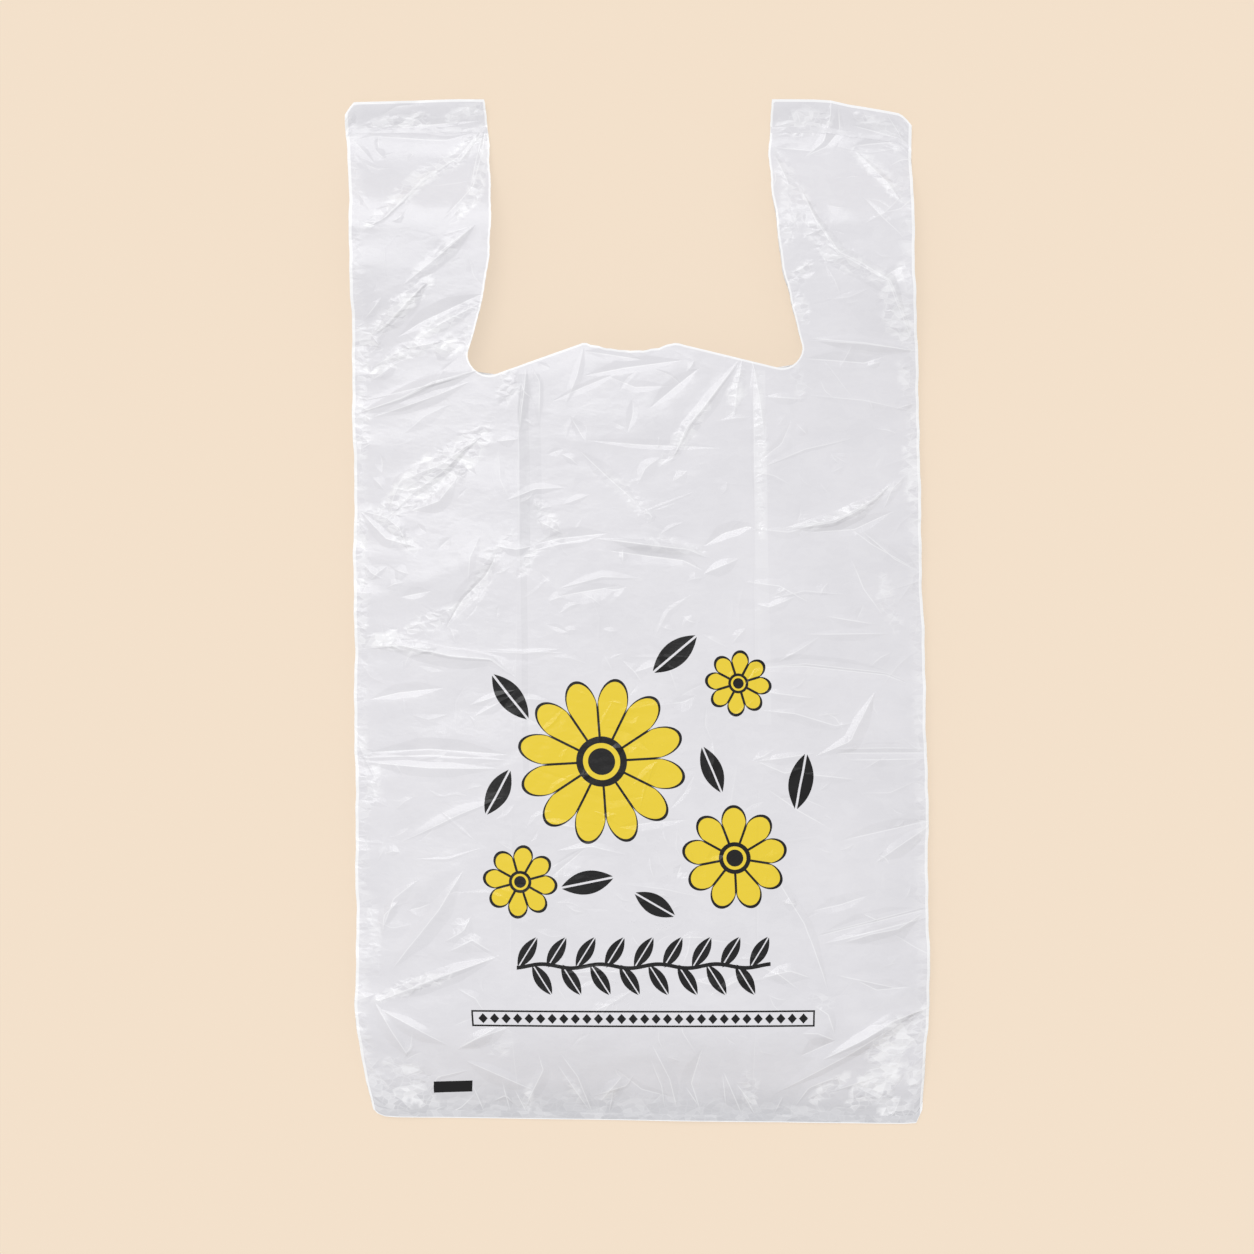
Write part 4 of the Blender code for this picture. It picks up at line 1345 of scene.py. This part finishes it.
def filmMaterial():
    material = bpy.data.materials.new("white film")
    material.use_nodes = True
    n = Nodes(material.node_tree)
    shader = material.node_tree.nodes["Principled BSDF"]
    place = n.add("ShaderNodeUVMap", uv_map="flatFilm").outputs[0]
    parts = n.add("ShaderNodeSeparateXYZ")
    n.link(place, parts.inputs[0])
    u, v = parts.outputs[0], parts.outputs[1]
    yellow = []
    black = []
    for flower in printed["flowers"]:
        inside, ink = flowerMasks(n, u, v, *flower)
        yellow.append(inside)
        black.append(ink)
    black += [leafMask(n, u, v, *leaf) for leaf in printed["leaves"]]
    level = n.fit(u, printed["level"], v)
    black.append(garlandMask(n, u, level, printed["garland"]))
    black.append(borderMask(n, u, level, printed["border"]))
    bar = printed["bar"]
    across = n.fit(v, -bar["lean"], u)
    up = n.fit(u, -bar["tilt"], v)
    black.append(n.both(within(n, across, bar["x"] - bar["lean"] * bar["along"], bar["halfX"]),
                        within(n, up, bar["along"] - bar["tilt"] * bar["x"], bar["halfY"])))
    yellow = n.most(yellow)
    black = n.most(black)
    cloud = n.noise(place, *filmLook["cloud"])[0]
    thin = n.add("ShaderNodeMapRange")
    for value, socket in zip((cloud, *filmLook["cloudRange"]), thin.inputs):
        n.link(value, socket)
    # painted shade: darker towards the bottom of the bag and up the handles, added to the cloud tone
    steep = filmLook["lowPaintedShade"]
    low = n.fit(v, -steep / filmLook["lowRun"], steep)
    steep = filmLook["highPaintedShade"]
    high = n.fit(v, steep, -steep * filmLook["highFrom"])
    toneAndPaintedShade = n.plus(thin.outputs[0], n.most([low, high, 0.0]))
    colour = n.mix(toneAndPaintedShade, filmLook["colour"], filmLook["toneAndPaintedShade"])
    # painted shade: the film darkens towards the bottom weld, and the bottom weld bar takes the full
    # grey
    colour = n.mix(n.fade(v, filmLook["bottomPaintedShadeRun"]), colour, filmLook["weld"])
    # pale edge and painted highlight along the cuts, the side folds, the bottom and the top
    paleEdgeAndPaintedHighlight = n.add("ShaderNodeAttribute", attribute_name="paleEdgeAndPaintedHighlight").outputs["Fac"]
    side = n.size(n.maths("WRAP", u, 0.5, -0.5))
    side = n.over(side, bag["halfWidth"] - filmLook["rimWidth"])
    base = n.less(v, filmLook["rimWidth"] / 4)
    aboveWeld = n.over(v, bag["bottomWeld"])
    top = n.over(v, bag["length"] - filmLook["rimWidth"])
    paleEdgeAndPaintedHighlight = n.clamp(n.fit(paleEdgeAndPaintedHighlight, *filmLook["rimEdge"]))
    paleEdgeAndPaintedHighlight = n.most([n.both(paleEdgeAndPaintedHighlight, aboveWeld), side, base, top])
    # bands along the tucked gusset edges, darker or paler by the sign of their share
    for x, half, low, high, share in filmLook["through"]:
        band = n.both(within(n, u, x, half), within(n, v, (low + high) / 2, (high - low) / 2))
        tint = filmLook["paleAndPaintedGlint"] if share > 0 else filmLook["weld"]
        colour = n.mix(n.both(band, abs(share)), colour, tint)
    crumpled = n.add("ShaderNodeAttribute", attribute_name="crumpled").outputs["Fac"]
    heights = []
    crests = []
    for i in range(folds["layers"]):
        height, crest = sharpFold(n, f"fold{i}")
        heights.append(height)
        crests.append(crest)
    paintedGlints = []
    for scale, slope, turn in filmLook["facets"]:
        height, crest, paintedGlint = facets(n, place, scale, slope, turn)
        paintedGlints.append(n.both(paintedGlint, 1 / len(filmLook["facets"])))
        heights.append(n.both(height, crumpled))
        crests.append(n.both(crest, n.both(crumpled, filmLook["netShare"])))
    crest = n.most(crests)
    paintedGlint = n.plus(*paintedGlints)
    # painted glints: the brighter cells of the crumpled film
    colour = n.mix(n.both(crumpled, paintedGlint), colour, filmLook["paleAndPaintedGlint"])
    # painted highlight along the crests of folds and facets, partly the whitening of creased film
    colour = n.mix(n.both(crest, filmLook["crest"]), colour, filmLook["paleEdgeAndPaintedHighlight"])
    # a pale rim along the edges: painted highlight, and the whiter look of film edges where layers
    # stack
    colour = n.mix(n.both(paleEdgeAndPaintedHighlight, filmLook["rimShare"]), colour, filmLook["paleEdgeAndPaintedHighlight"])
    colour = n.mix(yellow, colour, printed["yellow"])
    colour = n.mix(black, colour, printed["black"])
    n.link(colour, shader.inputs["Base Color"])
    fine = n.noise(place, *filmLook["grainNoise"])[0]
    heights.append(n.both(fine, filmLook["grain"]))
    height = heights[0]
    for more in heights[1:]:
        height = n.plus(height, more)
    bump = n.add("ShaderNodeBump")
    bump.inputs["Distance"].default_value = 1.0
    n.link(height, bump.inputs["Height"])
    n.link(bump.outputs[0], shader.inputs["Normal"])
    spread = filmLook["roughnessSpread"]
    rough = n.fit(cloud, spread, filmLook["roughness"] - spread / 2)
    rough = n.fit(black, filmLook["inkRoughness"], rough)
    n.link(rough, shader.inputs["Roughness"])
    shader.inputs["IOR"].default_value = filmLook["refraction"]
    shader.inputs["Specular IOR Level"].default_value = filmLook["specular"]
    return material


studio = {
    "floorColour": (0.900, 0.752, 0.598, 1.0),
    "floorSize": 12.0,
    "floorDrop": 0.0002,
    "floorRoughness": 0.9,
    "floorSpecular": 0.1,
    "floorGlow": 0.77,  # share of the floor's look that the object's shadow leaves alone
    "worldStrength": 0.60,
    "keyStrength": 1.40,
    "keyAngle": 40.0,
    "keyFrom": (-0.26, 0.43, 1.0),
    "lens": 85.0,
    "cameraHeight": 1.531,
    "cameraX": -0.0052,
    "cameraY": -0.0078,
}


def makeStudio():
    bpy.ops.mesh.primitive_plane_add(size=studio["floorSize"], location=(0, 0, -studio["floorDrop"]))
    floor = bpy.context.object
    floor.name = "floor"
    paper = bpy.data.materials.new("pale floor")
    paper.use_nodes = True
    n = Nodes(paper.node_tree)
    shader = paper.node_tree.nodes["Principled BSDF"]
    shader.inputs["Base Color"].default_value = studio["floorColour"]
    shader.inputs["Roughness"].default_value = studio["floorRoughness"]
    shader.inputs["Specular IOR Level"].default_value = studio["floorSpecular"]
    glow = n.add("ShaderNodeEmission")
    glow.inputs["Color"].default_value = studio["floorColour"]
    sight = n.add("ShaderNodeLightPath").outputs["Is Camera Ray"]
    lit = n.add("ShaderNodeMixShader")
    n.link(n.both(sight, studio["floorGlow"]), lit.inputs[0])
    n.link(shader.outputs[0], lit.inputs[1])
    n.link(glow.outputs[0], lit.inputs[2])
    n.link(lit.outputs[0], paper.node_tree.nodes["Material Output"].inputs[0])
    floor.data.materials.append(paper)
    world = bpy.data.worlds.new("studio")
    world.use_nodes = True
    bpy.context.scene.world = world
    n = Nodes(world.node_tree)
    room = world.node_tree.nodes["Background"]
    room.inputs["Color"].default_value = (1.0, 1.0, 1.0, 1.0)
    room.inputs["Strength"].default_value = studio["worldStrength"]
    backdrop = n.add("ShaderNodeBackground")
    backdrop.inputs["Color"].default_value = studio["floorColour"]
    path = n.add("ShaderNodeLightPath")
    both = n.add("ShaderNodeMixShader")
    n.link(path.outputs["Is Camera Ray"], both.inputs[0])
    n.link(room.outputs[0], both.inputs[1])
    n.link(backdrop.outputs[0], both.inputs[2])
    n.link(both.outputs[0], world.node_tree.nodes["World Output"].inputs[0])
    light = bpy.data.lights.new("key", "SUN")
    light.energy = studio["keyStrength"]
    light.angle = math.radians(studio["keyAngle"])
    key = bpy.data.objects.new("key", light)
    bpy.context.scene.collection.objects.link(key)
    aim = Vector(studio["keyFrom"])
    key.rotation_euler = aim.to_track_quat("Z", "Y").to_euler()
    eye = bpy.data.cameras.new("camera")
    eye.lens = studio["lens"]
    camera = bpy.data.objects.new("camera", eye)
    bpy.context.scene.collection.objects.link(camera)
    camera.location = (studio["cameraX"], studio["cameraY"], studio["cameraHeight"])
    bpy.context.scene.camera = camera
    bpy.context.scene.view_settings.view_transform = "Standard"


makeStudio()
print("stage: studio ready")
film = makeFilm()
addWelds(film)
centreOn(film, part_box("carrier_bag"))
film.data.materials.clear()
film.data.materials.append(filmMaterial())
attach(film, "root")
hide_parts("carrier_bag")
print("stage: film ready,", sum(len(p.vertices) - 2 for p in film.data.polygons), "triangles")
